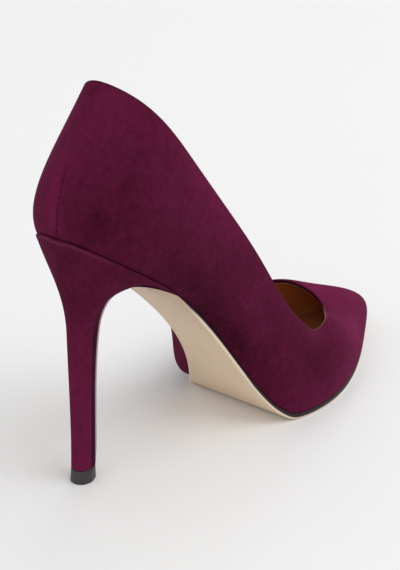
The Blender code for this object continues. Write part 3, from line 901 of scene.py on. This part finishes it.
def breast_values(across):
    """Rows of the heel table across the breast from lip to lip."""
    lip = np.array(HEEL_ROWS[-1][2:])
    middle = np.array(BREAST_ROW[2:])
    share = (np.abs(across) ** 2)[:, None]
    values = lip * share + middle * (1.0 - share)
    for column in ODD_COLUMNS:
        values[:, column] = lip[column] * np.abs(across)
    return values, np.where(across < 0.0, -1.0, 1.0)


def heel_crease(share, down, sizes):
    """Soft ridge a little below the seat that fades out along each side, from 0 to 1."""
    rest = 1.0 - smooth_step(share, *CREASE_SHARES)
    return rest[:, None] * np.exp(-((down - sizes.crease_down) / sizes.crease_wide) ** 2)


def heel_shape():
    """Columns round the heel with its rounded rim and crease, its seat grid, and each column's share."""
    sizes = in_millimetres(bpy.context.scene.pump_sizes)
    outer_lip, inner_lip = side_places(LIP_X)
    shares = heel_shares()
    bows = (LIP_X - BREAST_X) * shares ** BOW_POWER
    taper = clamped((1.0 - shares) * RIM_TAPER)
    rounding = RIM_MIDDLE * sizes.heel_round
    rings = []
    for inset, drop in ((sizes.heel_round, 0.0), (rounding, rounding), (0.0, 0.0)):
        inset = (inset - sizes.heel_rim) * taper
        outer_edge = feather(HEEL_BACK + (outer_lip - HEEL_BACK) * shares, inset)[0][:, :2]
        inner_edge = feather(HEEL_BACK + (inner_lip - HEEL_BACK) * shares, inset)[0][:, :2]
        grid = with_height(plate_grid(outer_edge, inner_edge, bows), -sizes.slit)
        grid[:, :, 2] -= (drop * taper)[:, None]
        rings.append(grid)
    seat = rings[0]
    outline = rings[-1]
    signed = np.concatenate([-shares[:0:-1], shares])
    values, flip = heel_values(signed)
    sides = [np.concatenate([grid[:0:-1, 0], grid[:, -1]]) for grid in rings]
    columns = heel_columns(sides[-1], values, flip)
    columns = np.concatenate([sides[0][:, None], sides[1][:, None], columns], axis=1)
    crease = heel_crease(np.abs(signed), way_along(columns), sizes)
    ways = np.where(signed < 0.0, HEEL_BACK - outer_lip, inner_lip - HEEL_BACK)
    outward = feather(HEEL_BACK + ways * signed)[1]
    columns += outward[:, None, :] * (sizes.crease_high * crease)[:, :, None]
    across = np.linspace(-1.0, 1.0, PLATE_WIDTHS + 1)[1:-1]
    values, flip = breast_values(across)
    front_seat = outline[-1, 1:-1]
    front = heel_columns(front_seat, values, flip)
    front = np.concatenate([front_seat[:, None], front_seat[:, None], front], axis=1)
    return SimpleNamespace(
        columns=np.concatenate([columns, front[::-1]]), seat=seat, lips=(columns[0], columns[-1]),
        share=np.concatenate([np.abs(signed), np.full(len(across), BREAST_SHARE)]),
        crease=np.concatenate([crease, np.zeros((len(across), crease.shape[1]))]))


def cord(line, radius):
    """Points and faces of a round cord along a line, with a radius at each point, closed at both ends."""
    along = np.gradient(line, axis=0)
    side = unit(np.cross(along, SIDEWAYS))
    other = unit(np.cross(side, along))
    turns = np.linspace(0.0, 2.0 * math.pi, CORD_SIDES + 1)[:-1, None, None]
    spoke = np.cos(turns) * side[None] + np.sin(turns) * other[None]
    grid = line[None] + radius[None, :, None] * spoke
    high = len(line)
    faces = grid_faces(CORD_SIDES, high, True)
    faces.append([turn * high for turn in range(CORD_SIDES)])
    faces.append([turn * high + high - 1 for turn in range(CORD_SIDES)][::-1])
    return grid.reshape(-1, 3), faces


def new_tree(name):
    """A material with its node tree, its shader and the surface's own coordinates."""
    material = bpy.data.materials.new(name)
    material.use_nodes = True
    tree = material.node_tree
    place = tree.nodes.new("ShaderNodeTexCoord").outputs["Object"]
    return material, tree, tree.nodes["Principled BSDF"], place


def set_inputs(node, values):
    """Give a node's inputs their values by name."""
    for label, value in values.items():
        node.inputs[label].default_value = value


def add_node(tree, kind, label, source, values):
    """A new node with one input linked and others given by name."""
    node = tree.nodes.new(kind)
    tree.links.new(source, node.inputs[label])
    set_inputs(node, values)
    return node


def noise(tree, place, scale, detail, stretch=None):
    """Noise over the surface, stretched along an axis where that is wanted."""
    if stretch:
        place = add_node(tree, "ShaderNodeMapping", "Vector", place, {"Scale": stretch}).outputs["Vector"]
    node = add_node(tree, "ShaderNodeTexNoise", "Vector", place, {"Scale": scale, "Detail": detail})
    return node.outputs["Fac"]


def sum_of(tree, parts):
    """Weighted sum of several noises."""
    total = None
    for source, weight in parts:
        node = tree.nodes.new("ShaderNodeMath")
        node.operation = "MULTIPLY_ADD"
        tree.links.new(source, node.inputs[0])
        node.inputs[1].default_value = weight
        if total is None:
            node.inputs[2].default_value = 0.0
        else:
            tree.links.new(total, node.inputs[2])
        total = node.outputs[0]
    return total


def ramp(tree, source, first, second, low, high):
    """Two colours spread over part of a noise."""
    node = add_node(tree, "ShaderNodeValToRGB", "Fac", source, {})
    for element, position, tone in zip(node.color_ramp.elements, (low, high), (first, second)):
        element.position = position
        element.color = (*tone, 1.0)
    return node.outputs["Color"]


def spread(tree, source, low, high):
    """A noise spread from one number to another."""
    node = add_node(tree, "ShaderNodeMapRange", "Value", source, {"To Min": low, "To Max": high})
    return node.outputs["Result"]


def named_value(tree, label):
    """One of the piece's own named values."""
    node = tree.nodes.new("ShaderNodeAttribute")
    node.attribute_name = label
    return node.outputs["Fac"]


def laid_over(tree, kind, base, label, other):
    """A colour or number with another laid over it by a named value."""
    first, second, result = MIX_SOCKETS[kind]
    node = tree.nodes.new("ShaderNodeMix")
    node.data_type = kind
    tree.links.new(named_value(tree, label), node.inputs[0])
    tree.links.new(base, node.inputs[first])
    node.inputs[second].default_value = other
    return node.outputs[result]


def painted(tree, base, label, other):
    """Base colour with another laid over it by a named value."""
    return laid_over(tree, "RGBA", base, label, (*other, 1.0))


def set_surface(tree, shader, tone, gloss):
    """Give the shader its colour and its roughness."""
    tree.links.new(tone, shader.inputs["Base Color"])
    tree.links.new(gloss, shader.inputs["Roughness"])


def relief(tree, shader, height, strength, distance):
    """Fine relief under the shader."""
    values = {"Strength": strength, "Distance": distance}
    node = add_node(tree, "ShaderNodeBump", "Height", height, values)
    tree.links.new(node.outputs["Normal"], shader.inputs["Normal"])


def toned(base, factor):
    """A colour made lighter or darker."""
    return tuple(factor * part for part in base)


def suede(name, deep, raised, edge, seam):
    """Suede: nap and painted light and shade in soft patches, short fibres, painted highlights on folded
    edges, and dark seams with painted shade.
    """
    material, tree, shader, place = new_tree(name)
    clouds = noise(tree, place, scale=70.0, detail=3.0, stretch=(1.0, 1.0, 0.8))
    strokes = noise(tree, place, scale=420.0, detail=3.0, stretch=(1.0, 1.0, 0.75))
    fibres = noise(tree, place, scale=1400.0, detail=3.0)
    # The nap values carry the nap's brushing and painted light and shade
    lift_light_and_shade = named_value(tree, "nap")
    nap = sum_of(tree, [(clouds, 0.36), (strokes, 0.32), (fibres, 0.32), (lift_light_and_shade, 0.2)])
    tone = ramp(tree, nap, deep, raised, low=0.14, high=0.95)
    # Painted highlights laid on by the edge values, then dark seams and painted shade by the seam values
    tone = painted(tree, tone, "edge", edge)
    tone = painted(tree, tone, "seam", seam)
    set_surface(tree, shader, tone, spread(tree, nap, low=0.86, high=1.0))
    pile = sum_of(tree, [(strokes, 0.35), (fibres, 0.65)])
    relief(tree, shader, pile, strength=0.35, distance=0.0004)
    set_inputs(shader, {
        "Specular IOR Level": 0.03,
        "Sheen Weight": 0.08,
        "Sheen Roughness": 0.5,
        "Sheen Tint": (0.90, 0.15, 0.45, 1.0),
    })
    return material


def leather(name, base, deep, edge, grain, rough, edge_rough, coat, tones=()):
    """Smooth leather: soft clouds, fine grain, tones laid on by named values, on the sole painted shade and
    painted light, and a painted or cut edge.
    """
    material, tree, shader, place = new_tree(name)
    clouds = noise(tree, place, scale=60.0, detail=3.0)
    pores = noise(tree, place, scale=grain, detail=3.0)
    tone = sum_of(tree, [(clouds, 0.55), (pores, 0.45)])
    shown = ramp(tree, tone, deep, base, low=0.30, high=0.66)
    for label, laid_on in (*tones, ("edge", edge)):
        shown = painted(tree, shown, label, laid_on)
    gloss = spread(tree, tone, low=rough - 0.08, high=rough + 0.10)
    gloss = laid_over(tree, "FLOAT", gloss, "edge", edge_rough)
    set_surface(tree, shader, shown, gloss)
    relief(tree, shader, pores, strength=0.22, distance=0.0003)
    set_inputs(shader, {"Specular IOR Level": 0.35, "Coat Weight": coat, "Coat Roughness": 0.4})
    return material


def rubber(name, base):
    """Dense black rubber with fine mould marks."""
    material, tree, shader, place = new_tree(name)
    rings = noise(tree, place, scale=300.0, detail=2.0, stretch=(0.15, 0.15, 6.0))
    specks = noise(tree, place, scale=2200.0, detail=2.0)
    tone = sum_of(tree, [(rings, 0.5), (specks, 0.5)])
    shown = ramp(tree, tone, base, toned(base, 2.2), low=0.35, high=0.75)
    set_surface(tree, shader, shown, spread(tree, tone, low=0.34, high=0.56))
    relief(tree, shader, tone, strength=0.18, distance=0.0002)
    return material


def twisted_thread(name, base):
    """Dark thread with a twist."""
    material, tree, shader, place = new_tree(name)
    twist = noise(tree, place, scale=1800.0, detail=2.0, stretch=(1.0, 1.0, 0.3))
    shown = ramp(tree, twist, base, toned(base, 2.5), low=0.35, high=0.70)
    set_surface(tree, shader, shown, spread(tree, twist, low=0.55, high=0.75))
    relief(tree, shader, twist, strength=0.3, distance=0.0002)
    set_inputs(shader, {"Specular IOR Level": 0.1})
    return material


def studio_floor(name, base):
    """Pale floor with faint clouds and a little gloss."""
    material, tree, shader, place = new_tree(name)
    cloud = noise(tree, place, scale=1.5, detail=2.0)
    shown = ramp(tree, cloud, toned(base, FLOOR_CLOUD), base, low=0.3, high=0.7)
    set_surface(tree, shader, shown, spread(tree, cloud, low=0.40, high=0.48))
    set_inputs(shader, {"Specular IOR Level": 0.15})
    return material


def suede_named(context, name):
    """One of the shoe's suedes, made once."""
    found = bpy.data.materials.get(name)
    if found:
        return found
    tones = [getattr(context.scene.pump_colours, label) for label in SUEDES[name]]
    return suede(name, *tones)


def dart_form(places, sheet, sizes):
    """Fade of the dart with height, and its trough and swell with the distance from the back."""
    away = np.abs(places - HEEL_BACK)[:, None]
    above = sheet.outer[:, :, 2] - sheet.outer[:, :1, 2]
    below_top = sizes.dart_top - sheet.outer[:, :, 2]
    fade = smooth_step(below_top, *DART_TOP_FADE) * smooth_step(above, *DART_FOOT_FADE)
    trough = np.exp(-(away / sizes.dart_wide) ** 2)
    swell = np.exp(-((away - SWELL_AWAY) / SWELL_WIDE) ** 2)
    return fade, trough, swell


class PUMP_OT_upper(bpy.types.Operator):
    """Suede upper with its folded edges, the dart at the back and the strip on the inner side"""
    bl_idname = "pump.upper"
    bl_label = "Suede upper"

    def execute(self, context):
        sizes = in_millimetres(context.scene.pump_sizes)
        material = suede_named(context, "plum suede")
        self.add_suede(sizes, material)
        self.add_strip(sizes, material)
        return {"FINISHED"}

    def add_suede(self, sizes, material):
        """Vamp and quarter in one sheet, round the toe, outer side and heel."""
        even = row_places()
        dart = HEEL_BACK + np.arange(-DART_REACH, DART_REACH + 0.5 * DART_STEP, DART_STEP)
        even = even[np.abs(even - HEEL_BACK) > DART_ROOM]
        places, ends = rounded_ends(np.sort(np.concatenate([even, dart])), 0.5 * sizes.suede)
        sheet = layer(places, ends, (0.0, STRIP_START), 0.0, suede_thickness(places, sizes))
        fade, trough, swell = dart_form(places, sheet, sizes)
        move = fade * sheet.share * (sizes.dart_swell * swell - sizes.dart_deep * trough)
        sheet.outer += sheet.face * move[:, :, None]
        fold = clamped(1.0 - sheet.share)
        top = np.arange(fold.shape[1]) > WALL_STEPS // 2
        # Along the folded rim: a painted highlight on the near side of the throat, painted shade on the far
        # side and along the quarter
        line = clamped(RIM_REACH * fold) * top
        near = np.interp(places, row_place(HIGHLIGHT_ROWS), (0.0, 1.0, 1.0, 0.0))[:, None]
        # Painted shade in the dart's trough, in the crevice at the foot and along the far rim
        seam = DART_SHADE * fade * trough + FOOT_SHADE * fold * ~top + FAR_RIM_SHADE * line * (1.0 - near)
        # Nap values: the nap's brushing together with painted light and shade
        nap = nap_light_and_shade_patches(places, sheet.outer)
        inside = np.zeros(fold.shape)
        # Painted highlight on the near rim by the edge values, painted shade by the seam values, and nap
        # with painted light and shade by the nap values
        values = {
            "edge": np.concatenate([NEAR_RIM_HIGHLIGHT * line * near, inside]),
            "seam": np.concatenate([seam, inside + INSIDE_SHADE * top]),
            "nap": np.concatenate([nap, inside]),
        }
        points, faces = shell(sheet.outer, sheet.inner, False)
        piece = piece_from("suede_upper", points, faces, material, values)
        placed(piece, "suede", "upper")

    def add_strip(self, sizes, material):
        """Low strip on the inner side, under vamp and quarter."""
        even = np.linspace(STRIP_START - sizes.underlap, ROUND + sizes.underlap, 5 * STEPS_PER_ROW)
        places, ends = rounded_ends(even, 0.5 * sizes.strip)
        under = sizes.suede + STRIP_CLEAR
        band = layer(places, ends, (places[0], places[-1]), under, sizes.strip)
        points, faces = shell(band.outer, band.inner, False)
        piece = piece_from("inner_strip", points, faces, material, {})
        placed(piece, "suede")


class PUMP_OT_lining(bpy.types.Operator):
    """Tan lining inside the upper, a little below its topline"""
    bl_idname = "pump.lining"
    bl_label = "Lining"

    def execute(self, context):
        sizes = in_millimetres(context.scene.pump_sizes)
        strip = np.linspace(STRIP_START, ROUND, 3 * STEPS_PER_ROW + 1)[1:-1]
        places = np.concatenate([row_places(), strip])
        near = near_strip(places, sizes.underlap)
        depth = suede_thickness(places, sizes) + LINING_CLEAR + near * (sizes.strip + STRIP_CLEAR)
        rise = wall(places, TOPLINE_SHARES)
        rise = rise[:, 1] - rise[:, 0]
        steep = unit(rise)[:, 2] ** 2
        drop = sizes.level_drop + (sizes.steep_drop - sizes.level_drop) * steep
        ends = np.ones(len(places))
        inside = layer(places, ends, (0.0, ROUND), depth, sizes.wall - depth, sizes.lining_start, drop)
        cut = clamped(1.0 - inside.share)
        cut[:, :WALL_STEPS // 2] = 0.0
        cut = np.concatenate([cut, cut])
        points, faces = shell(inside.outer, inside.inner, True)
        tones = context.scene.pump_colours
        material = leather(
            "tan lining leather", tones.lining, tones.lining_deep, tones.lining_edge,
            grain=1500.0, rough=0.55, edge_rough=0.75, coat=0.0)
        piece = piece_from("lining", points, faces, material, {"edge": cut})
        placed(piece, "sock_leather")
        return {"FINISHED"}


class PUMP_OT_sock(bpy.types.Operator):
    """Tan sock over the insole board"""
    bl_idname = "pump.sock"
    bl_label = "Sock"

    def execute(self, context):
        sizes = in_millimetres(context.scene.pump_sizes)
        clear = sizes.wall + sizes.gap
        starts = (HEEL_BACK, HEEL_BACK)
        profile = []
        for inset, lift in SOCK_EDGE:
            room = [clear, clear]
            if lift > sizes.lining_start:
                rooms = [room_inside(places, lift, sizes.wall) for places in plate_places(starts)]
                room = [np.minimum(clear, found + 0.5 * sizes.gap) for found in rooms]
            profile.append((room[0] + inset, room[1] + inset, lift))
        straight = np.zeros(PLATE_LENGTHS + 1)
        points, faces = plate(starts, straight, profile)
        # The sock's colours are darker than the lining's as painted shade inside the shoe
        tones = context.scene.pump_colours
        material = leather(
            "tan sock leather", tones.sock, tones.sock_deep, tones.lining_edge,
            grain=1500.0, rough=0.6, edge_rough=0.75, coat=0.0)
        piece = piece_from("sock", points, faces, material, {}, SOCK_SHARP)
        placed(piece, "sock_leather", "insole")
        return {"FINISHED"}


def sole_values(shares, sizes):
    """Ink, painted shade and painted light of the sole at each point, by the share of its length and the
    drop down its edge.
    """
    drops = np.array([drop for _, drop in SOLE_EDGE])
    flat = np.full(PLATE_WIDTHS + 1, drops[-1])
    rim = flat.copy()
    rim[[0, -1]] = drops[0]
    around = np.concatenate([rim, drops[1:-1], flat, drops[-2:0:-1]])
    forward = clamped((shares - INK_START) / INK_GROWTH)[:, None]
    limit = sizes.ink_waist + (sizes.ink_toe - sizes.ink_waist) * forward
    # Painted highlight along the bare edge and painted light towards the tread, by the pale values
    bare = (around > HIGHLIGHT_DROPS[0]) & (around < HIGHLIGHT_DROPS[1])
    lit_bare_edge = EDGE_HIGHLIGHT * smooth_step(shares, *EDGE_HIGHLIGHT_SHARES)
    lit_tread = TREAD_LIGHT * smooth_step(shares, *TREAD_SHARES)
    pale = np.where(bare[None, :], lit_bare_edge[:, None], lit_tread[:, None])
    # Painted shade at the waist, by the dusky values
    waist_shading = WAIST_SHADE * (1.0 - smooth_step(shares, *WAIST_SHARES))
    return {
        "edge": clamped((limit - around[None, :]) / INK_FADE),
        "pale": pale,
        "dusky": np.broadcast_to(waist_shading[:, None], pale.shape),
    }


class PUMP_OT_outsole(bpy.types.Operator):
    """Leather outsole with an inked edge"""
    bl_idname = "pump.outsole"
    bl_label = "Outsole"

    def execute(self, context):
        sizes = in_millimetres(context.scene.pump_sizes)
        tones = context.scene.pump_colours
        # The sole's dusky and pale tones are painted shade at the waist and painted light towards the tread
        # and bare edge
        material = leather(
            "sole leather", tones.sole, tones.sole_deep, tones.ink,
            grain=900.0, rough=0.5, edge_rough=0.6, coat=0.04,
            tones=(("dusky", tones.sole_shade), ("pale", tones.sole_highlight)))
        starts = side_places(LIP_X + sizes.slit)
        shares = np.linspace(0.0, 1.0, PLATE_LENGTHS + 1)
        bows = (LIP_X - BREAST_X) * clamped(1.0 - shares / BOW_SHARE) ** 2
        thick = clamped(SKIVE + (1.0 - SKIVE) * shares / SKIVE_SHARE)
        profile = []
        for inset, drop in SOLE_EDGE:
            skived = inset * thick
            profile.append((skived, skived, -sizes.gap - drop * thick[:, None]))
        profile[0] = (*profile[0][:2], -sizes.slit)
        points, faces = plate(starts, bows, profile)
        piece = piece_from("outsole", points, faces, material, sole_values(shares, sizes), SOLE_SHARP)
        placed(piece, "sole_leather", "outsole")
        return {"FINISHED"}


class PUMP_OT_heel(bpy.types.Operator):
    """Suede-covered stiletto heel, creased below its seat at the back"""
    bl_idname = "pump.heel"
    bl_label = "Covered heel"

    def execute(self, context):
        heel = heel_shape()
        around, high = heel.columns.shape[:2]
        middle = heel.columns[:, -1].mean(axis=0)
        lengths, widths = heel.seat.shape[:2]
        points = np.concatenate([heel.columns.reshape(-1, 3), heel.seat.reshape(-1, 3), middle[None, :]])
        faces = [face[::-1] for face in grid_faces(around, high, True)]
        faces += fan(around, high, high - 1, len(points) - 1)
        faces += [face[::-1] for face in grid_faces(lengths, widths, False, around * high)]
        on_side = heel.share < BREAST_SHARE
        # Painted shade on the stem where it turns away beside the breast, and in the groove at the breast's
        # edge
        low = 1.0 - smooth_step(heel.columns[:, :, 2], STEM_TOP, STEM_TOP + SHADED_STRIP_FADE)
        strip = smooth_step(heel.share, *SHADED_STRIP_SHARES) * on_side
        groove = (heel.share > GROOVE_SHARE) * on_side
        dark = BREAST_SHADE * np.maximum(strip[:, None] * low, groove[:, None])
        # Painted light and shade by height, laid on through the nap values
        heights, lifts = np.array(HEEL_LIGHT_AND_SHADE).T
        lift_light_and_shade = np.interp(heel.columns[:, :, 2], heights, lifts)
        # Painted shade on the heel's seat, in the slit under the upper
        seat_rest = np.zeros(lengths * widths + 1)
        # Edge values: a painted highlight along the crease; nap values: painted light and shade, lifted
        # more along the crease
        values = {
            "edge": np.concatenate([CREASE_HIGHLIGHT * heel.crease.ravel(), seat_rest]),
            "seam": np.concatenate([dark.ravel(), seat_rest + SEAT_SHADE]),
            "nap": np.concatenate([(CREASE_HIGHLIGHT_LIFT * heel.crease + lift_light_and_shade).ravel(), seat_rest]),
        }
        material = suede_named(context, "heel cover suede")
        piece = piece_from("covered_heel", points, faces, material, values, HEEL_SHARP)
        placed(piece, "heel_suede", "heel")
        return {"FINISHED"}


class PUMP_OT_breast_edges(bpy.types.Operator):
    """Pale cut edges of the heel cover along both sides of the breast"""
    bl_idname = "pump.breast_edges"
    bl_label = "Breast edges"

    def execute(self, context):
        sizes = in_millimetres(context.scene.pump_sizes)
        material = suede_named(context, "heel cover suede")
        for name, lip in zip(("breast_edge_outer", "breast_edge_inner"), heel_shape().lips):
            line = lip[int(ARCH_SHARE * HEEL_LEVELS):]
            steps = np.arange(len(line))
            from_ends = np.minimum(steps, 2 * steps[::-1])
            points, faces = cord(line, sizes.cord * clamped(CORD_GROWTH + CORD_GROWTH * from_ends))
            piece = piece_from(name, points, faces, material, {"edge": np.ones(len(points))})
            placed(piece, "heel_suede")
        return {"FINISHED"}


class PUMP_OT_top_piece(bpy.types.Operator):
    """Black rubber top piece under the heel"""
    bl_idname = "pump.top_piece"
    bl_label = "Top piece"

    def execute(self, context):
        sizes = in_millimetres(context.scene.pump_sizes)
        material = rubber("black rubber", context.scene.pump_colours.rubber)
        ring = heel_shape().columns[:, -1, :2]
        middle = ring.mean(axis=0)
        rows = []
        for share, flare in PAD:
            outline = middle + (ring - middle) * flare
            rows.append(np.column_stack([outline, np.full(len(ring), share * sizes.pad_high)]))
        grid = np.stack(rows, axis=1)
        around, high = grid.shape[:2]
        caps = np.array([[*middle, sizes.pad_high], [*middle, 0.0]])
        points = np.concatenate([grid.reshape(-1, 3), caps])
        faces = [face[::-1] for face in grid_faces(around, high, True)]
        faces += [face[::-1] for face in fan(around, high, 0, around * high)]
        faces += fan(around, high, high - 1, around * high + 1)
        piece = piece_from("top_piece_rubber", points, faces, material, {}, PAD_SHARP)
        placed(piece, "top_piece_rubber", "top_piece")
        return {"FINISHED"}


def stitch_tree(material):
    """Geometry nodes that lay one stitch after another along a line."""
    tree = bpy.data.node_groups.new("dart stitches", "GeometryNodeTree")
    face = tree.interface
    face.new_socket("Line", in_out="INPUT", socket_type="NodeSocketGeometry")
    for label in ("Pitch", "Length", "Thread"):
        face.new_socket(label, in_out="INPUT", socket_type="NodeSocketFloat")
    face.new_socket("Stitches", in_out="OUTPUT", socket_type="NodeSocketGeometry")
    start = tree.nodes.new("NodeGroupInput")
    finish = tree.nodes.new("NodeGroupOutput")
    curve = tree.nodes.new("GeometryNodeMeshToCurve")
    spaced = tree.nodes.new("GeometryNodeResampleCurve")
    spaced.mode = "LENGTH"
    bead = tree.nodes.new("GeometryNodeMeshUVSphere")
    set_inputs(bead, {"Segments": 8, "Rings": 6, "Radius": 0.5})
    size = tree.nodes.new("ShaderNodeCombineXYZ")
    laid = tree.nodes.new("GeometryNodeInstanceOnPoints")
    tangent = tree.nodes.new("GeometryNodeInputTangent")
    turned = tree.nodes.new("FunctionNodeAlignRotationToVector")
    turned.axis = "Z"
    real = tree.nodes.new("GeometryNodeRealizeInstances")
    dressed = tree.nodes.new("GeometryNodeSetMaterial")
    dressed.inputs["Material"].default_value = material
    link = tree.links.new
    link(start.outputs["Line"], curve.inputs["Mesh"])
    link(curve.outputs["Curve"], spaced.inputs["Curve"])
    link(start.outputs["Pitch"], spaced.inputs["Length"])
    link(spaced.outputs["Curve"], laid.inputs["Points"])
    link(bead.outputs["Mesh"], laid.inputs["Instance"])
    link(tangent.outputs["Tangent"], turned.inputs["Vector"])
    link(turned.outputs["Rotation"], laid.inputs["Rotation"])
    link(start.outputs["Thread"], size.inputs["X"])
    link(start.outputs["Thread"], size.inputs["Y"])
    link(start.outputs["Length"], size.inputs["Z"])
    link(size.outputs["Vector"], laid.inputs["Scale"])
    link(laid.outputs["Instances"], real.inputs["Geometry"])
    link(real.outputs["Geometry"], dressed.inputs["Geometry"])
    link(dressed.outputs["Geometry"], finish.inputs["Stitches"])
    return tree


def dart_line(sizes):
    """Points down the middle of the dart's trough, where the stitches lie."""
    levels = np.linspace(STITCH_START, 1.0, DART_LEVELS)[None, :]
    column = np.array([HEEL_BACK])
    line = wall(column, levels)[0]
    out = wall_outward(column, levels, (0.0, STRIP_START))[0]
    line = line - out * (sizes.dart_deep - THREAD_ABOVE * sizes.thread)
    return line[(line[:, 2] < sizes.dart_top - STITCH_TOP) & (line[:, 2] > line[0, 2] + STITCH_FOOT)]


class PUMP_OT_stitches(bpy.types.Operator):
    """Stitches down the dart at the back"""
    bl_idname = "pump.stitches"
    bl_label = "Dart stitches"

    def execute(self, context):
        group = context.scene.pump_sizes
        line = dart_line(in_millimetres(group))
        shape = bpy.data.meshes.new("dart line")
        edges = [(point, point + 1) for point in range(len(line) - 1)]
        shape.from_pydata(((line - ORIGIN) * METRE).tolist(), edges, [])
        carrier = added("dart line", shape)
        tree = stitch_tree(twisted_thread("dark thread", context.scene.pump_colours.thread))
        modifier = carrier.modifiers.new("stitches", "NODES")
        modifier.node_group = tree
        given = {"Pitch": group.stitch_pitch, "Length": group.stitch_long, "Thread": group.thread}
        for socket in tree.interface.items_tree:
            if socket.in_out == "INPUT" and socket.name in given:
                modifier[socket.identifier] = given[socket.name]
        context.view_layer.update()
        seen = carrier.evaluated_get(context.evaluated_depsgraph_get())
        shape = bpy.data.meshes.new_from_object(seen)
        shape.name = "dart_stitches"
        shape.shade_smooth()
        bpy.data.objects.remove(carrier)
        if not shape.polygons:
            raise RuntimeError("the dart has no stitches")
        placed(added("dart_stitches", shape), "suede")
        return {"FINISHED"}


class PUMP_OT_stage(bpy.types.Operator):
    """Pale floor, soft light and the camera"""
    bl_idname = "pump.stage"
    bl_label = "Stage"

    def execute(self, context):
        scene = context.scene
        stage = scene.pump_stage
        scene.view_settings.view_transform = "Standard"
        self.add_floor(stage)
        self.add_light(scene, stage)
        self.add_camera(scene, stage)
        return {"FINISHED"}

    def add_floor(self, stage):
        """A wide, slightly glossy floor."""
        wide = FLOOR_REACH
        corners = [(-wide, -wide, 0.0), (wide, -wide, 0.0), (wide, wide, 0.0), (-wide, wide, 0.0)]
        shape = bpy.data.meshes.new("floor")
        shape.from_pydata(corners, [], [(0, 1, 2, 3)])
        shape.materials.append(studio_floor("studio floor", stage.floor))
        added("floor", shape)

    def add_light(self, scene, stage):
        """Light from all round and a few wide lights."""
        world = bpy.data.worlds.new("studio surround")
        world.use_nodes = True
        surround = world.node_tree.nodes["Background"]
        surround.inputs["Color"].default_value = (*stage.sky, 1.0)
        surround.inputs["Strength"].default_value = stage.sky_strength
        scene.world = world
        for name, strength, toward, wide in LIGHTS:
            light = bpy.data.lights.new(name, "SUN")
            light.energy = getattr(stage, strength)
            light.angle = math.radians(wide)
            added(name, light).rotation_euler = Vector(toward).to_track_quat("Z", "Y").to_euler()

    def add_camera(self, scene, stage):
        """Camera at the photograph's viewing angle."""
        turn = stage.azimuth
        lift = stage.elevation
        right = Vector((math.cos(turn), math.sin(turn), 0.0))
        back = Vector((math.sin(turn) * math.cos(lift), -math.cos(turn) * math.cos(lift), math.sin(lift)))
        up = back.cross(right)
        tilted_right = math.cos(stage.roll) * right + math.sin(stage.roll) * up
        tilted_up = math.cos(stage.roll) * up - math.sin(stage.roll) * right
        lens = bpy.data.cameras.new("camera")
        lens.lens = stage.focal
        lens.sensor_width = SENSOR_WIDTH
        lens.clip_start = CLIP_START
        lens.clip_end = CLIP_END
        camera = added("camera", lens)
        axes = Matrix((tilted_right, tilted_up, back)).transposed()
        place = Vector(stage.aim) + back * stage.distance
        camera.matrix_world = Matrix.Translation(place) @ axes.to_4x4()
        scene.camera = camera


class PUMP_PT_panel(bpy.types.Panel):
    """Pieces, sizes and colours of the pump"""
    bl_idname = "PUMP_PT_panel"
    bl_label = "Stiletto pump"
    bl_space_type = "VIEW_3D"
    bl_region_type = "UI"
    bl_category = "Pump"

    def draw(self, context):
        for piece in OPERATORS:
            self.layout.operator(piece.bl_idname)
        for label in SETTINGS:
            group = getattr(context.scene, label)
            for name in group.__annotations__:
                self.layout.prop(group, name)


SETTINGS = {"pump_sizes": PumpSizes, "pump_colours": PumpColours, "pump_stage": PumpStage}
OPERATORS = (
    PUMP_OT_upper,
    PUMP_OT_lining,
    PUMP_OT_sock,
    PUMP_OT_outsole,
    PUMP_OT_heel,
    PUMP_OT_breast_edges,
    PUMP_OT_top_piece,
    PUMP_OT_stitches,
    PUMP_OT_stage,
)


def register():
    """Register the settings, operators and panel."""
    for label, group in SETTINGS.items():
        bpy.utils.register_class(group)
        setattr(bpy.types.Scene, label, bpy.props.PointerProperty(type=group))
    for piece in OPERATORS:
        bpy.utils.register_class(piece)
    bpy.utils.register_class(PUMP_PT_panel)


def unregister():
    """Take the settings, operators and panel away again."""
    bpy.utils.unregister_class(PUMP_PT_panel)
    for piece in reversed(OPERATORS):
        bpy.utils.unregister_class(piece)
    for label, group in SETTINGS.items():
        delattr(bpy.types.Scene, label)
        bpy.utils.unregister_class(group)


def main():
    """Build the shoe and its stage."""
    register()
    bpy.ops.pump.upper()
    bpy.ops.pump.lining()
    bpy.ops.pump.sock()
    bpy.ops.pump.outsole()
    bpy.ops.pump.heel()
    bpy.ops.pump.breast_edges()
    bpy.ops.pump.top_piece()
    bpy.ops.pump.stitches()
    bpy.ops.pump.stage()


if __name__ == "__main__":
    main()
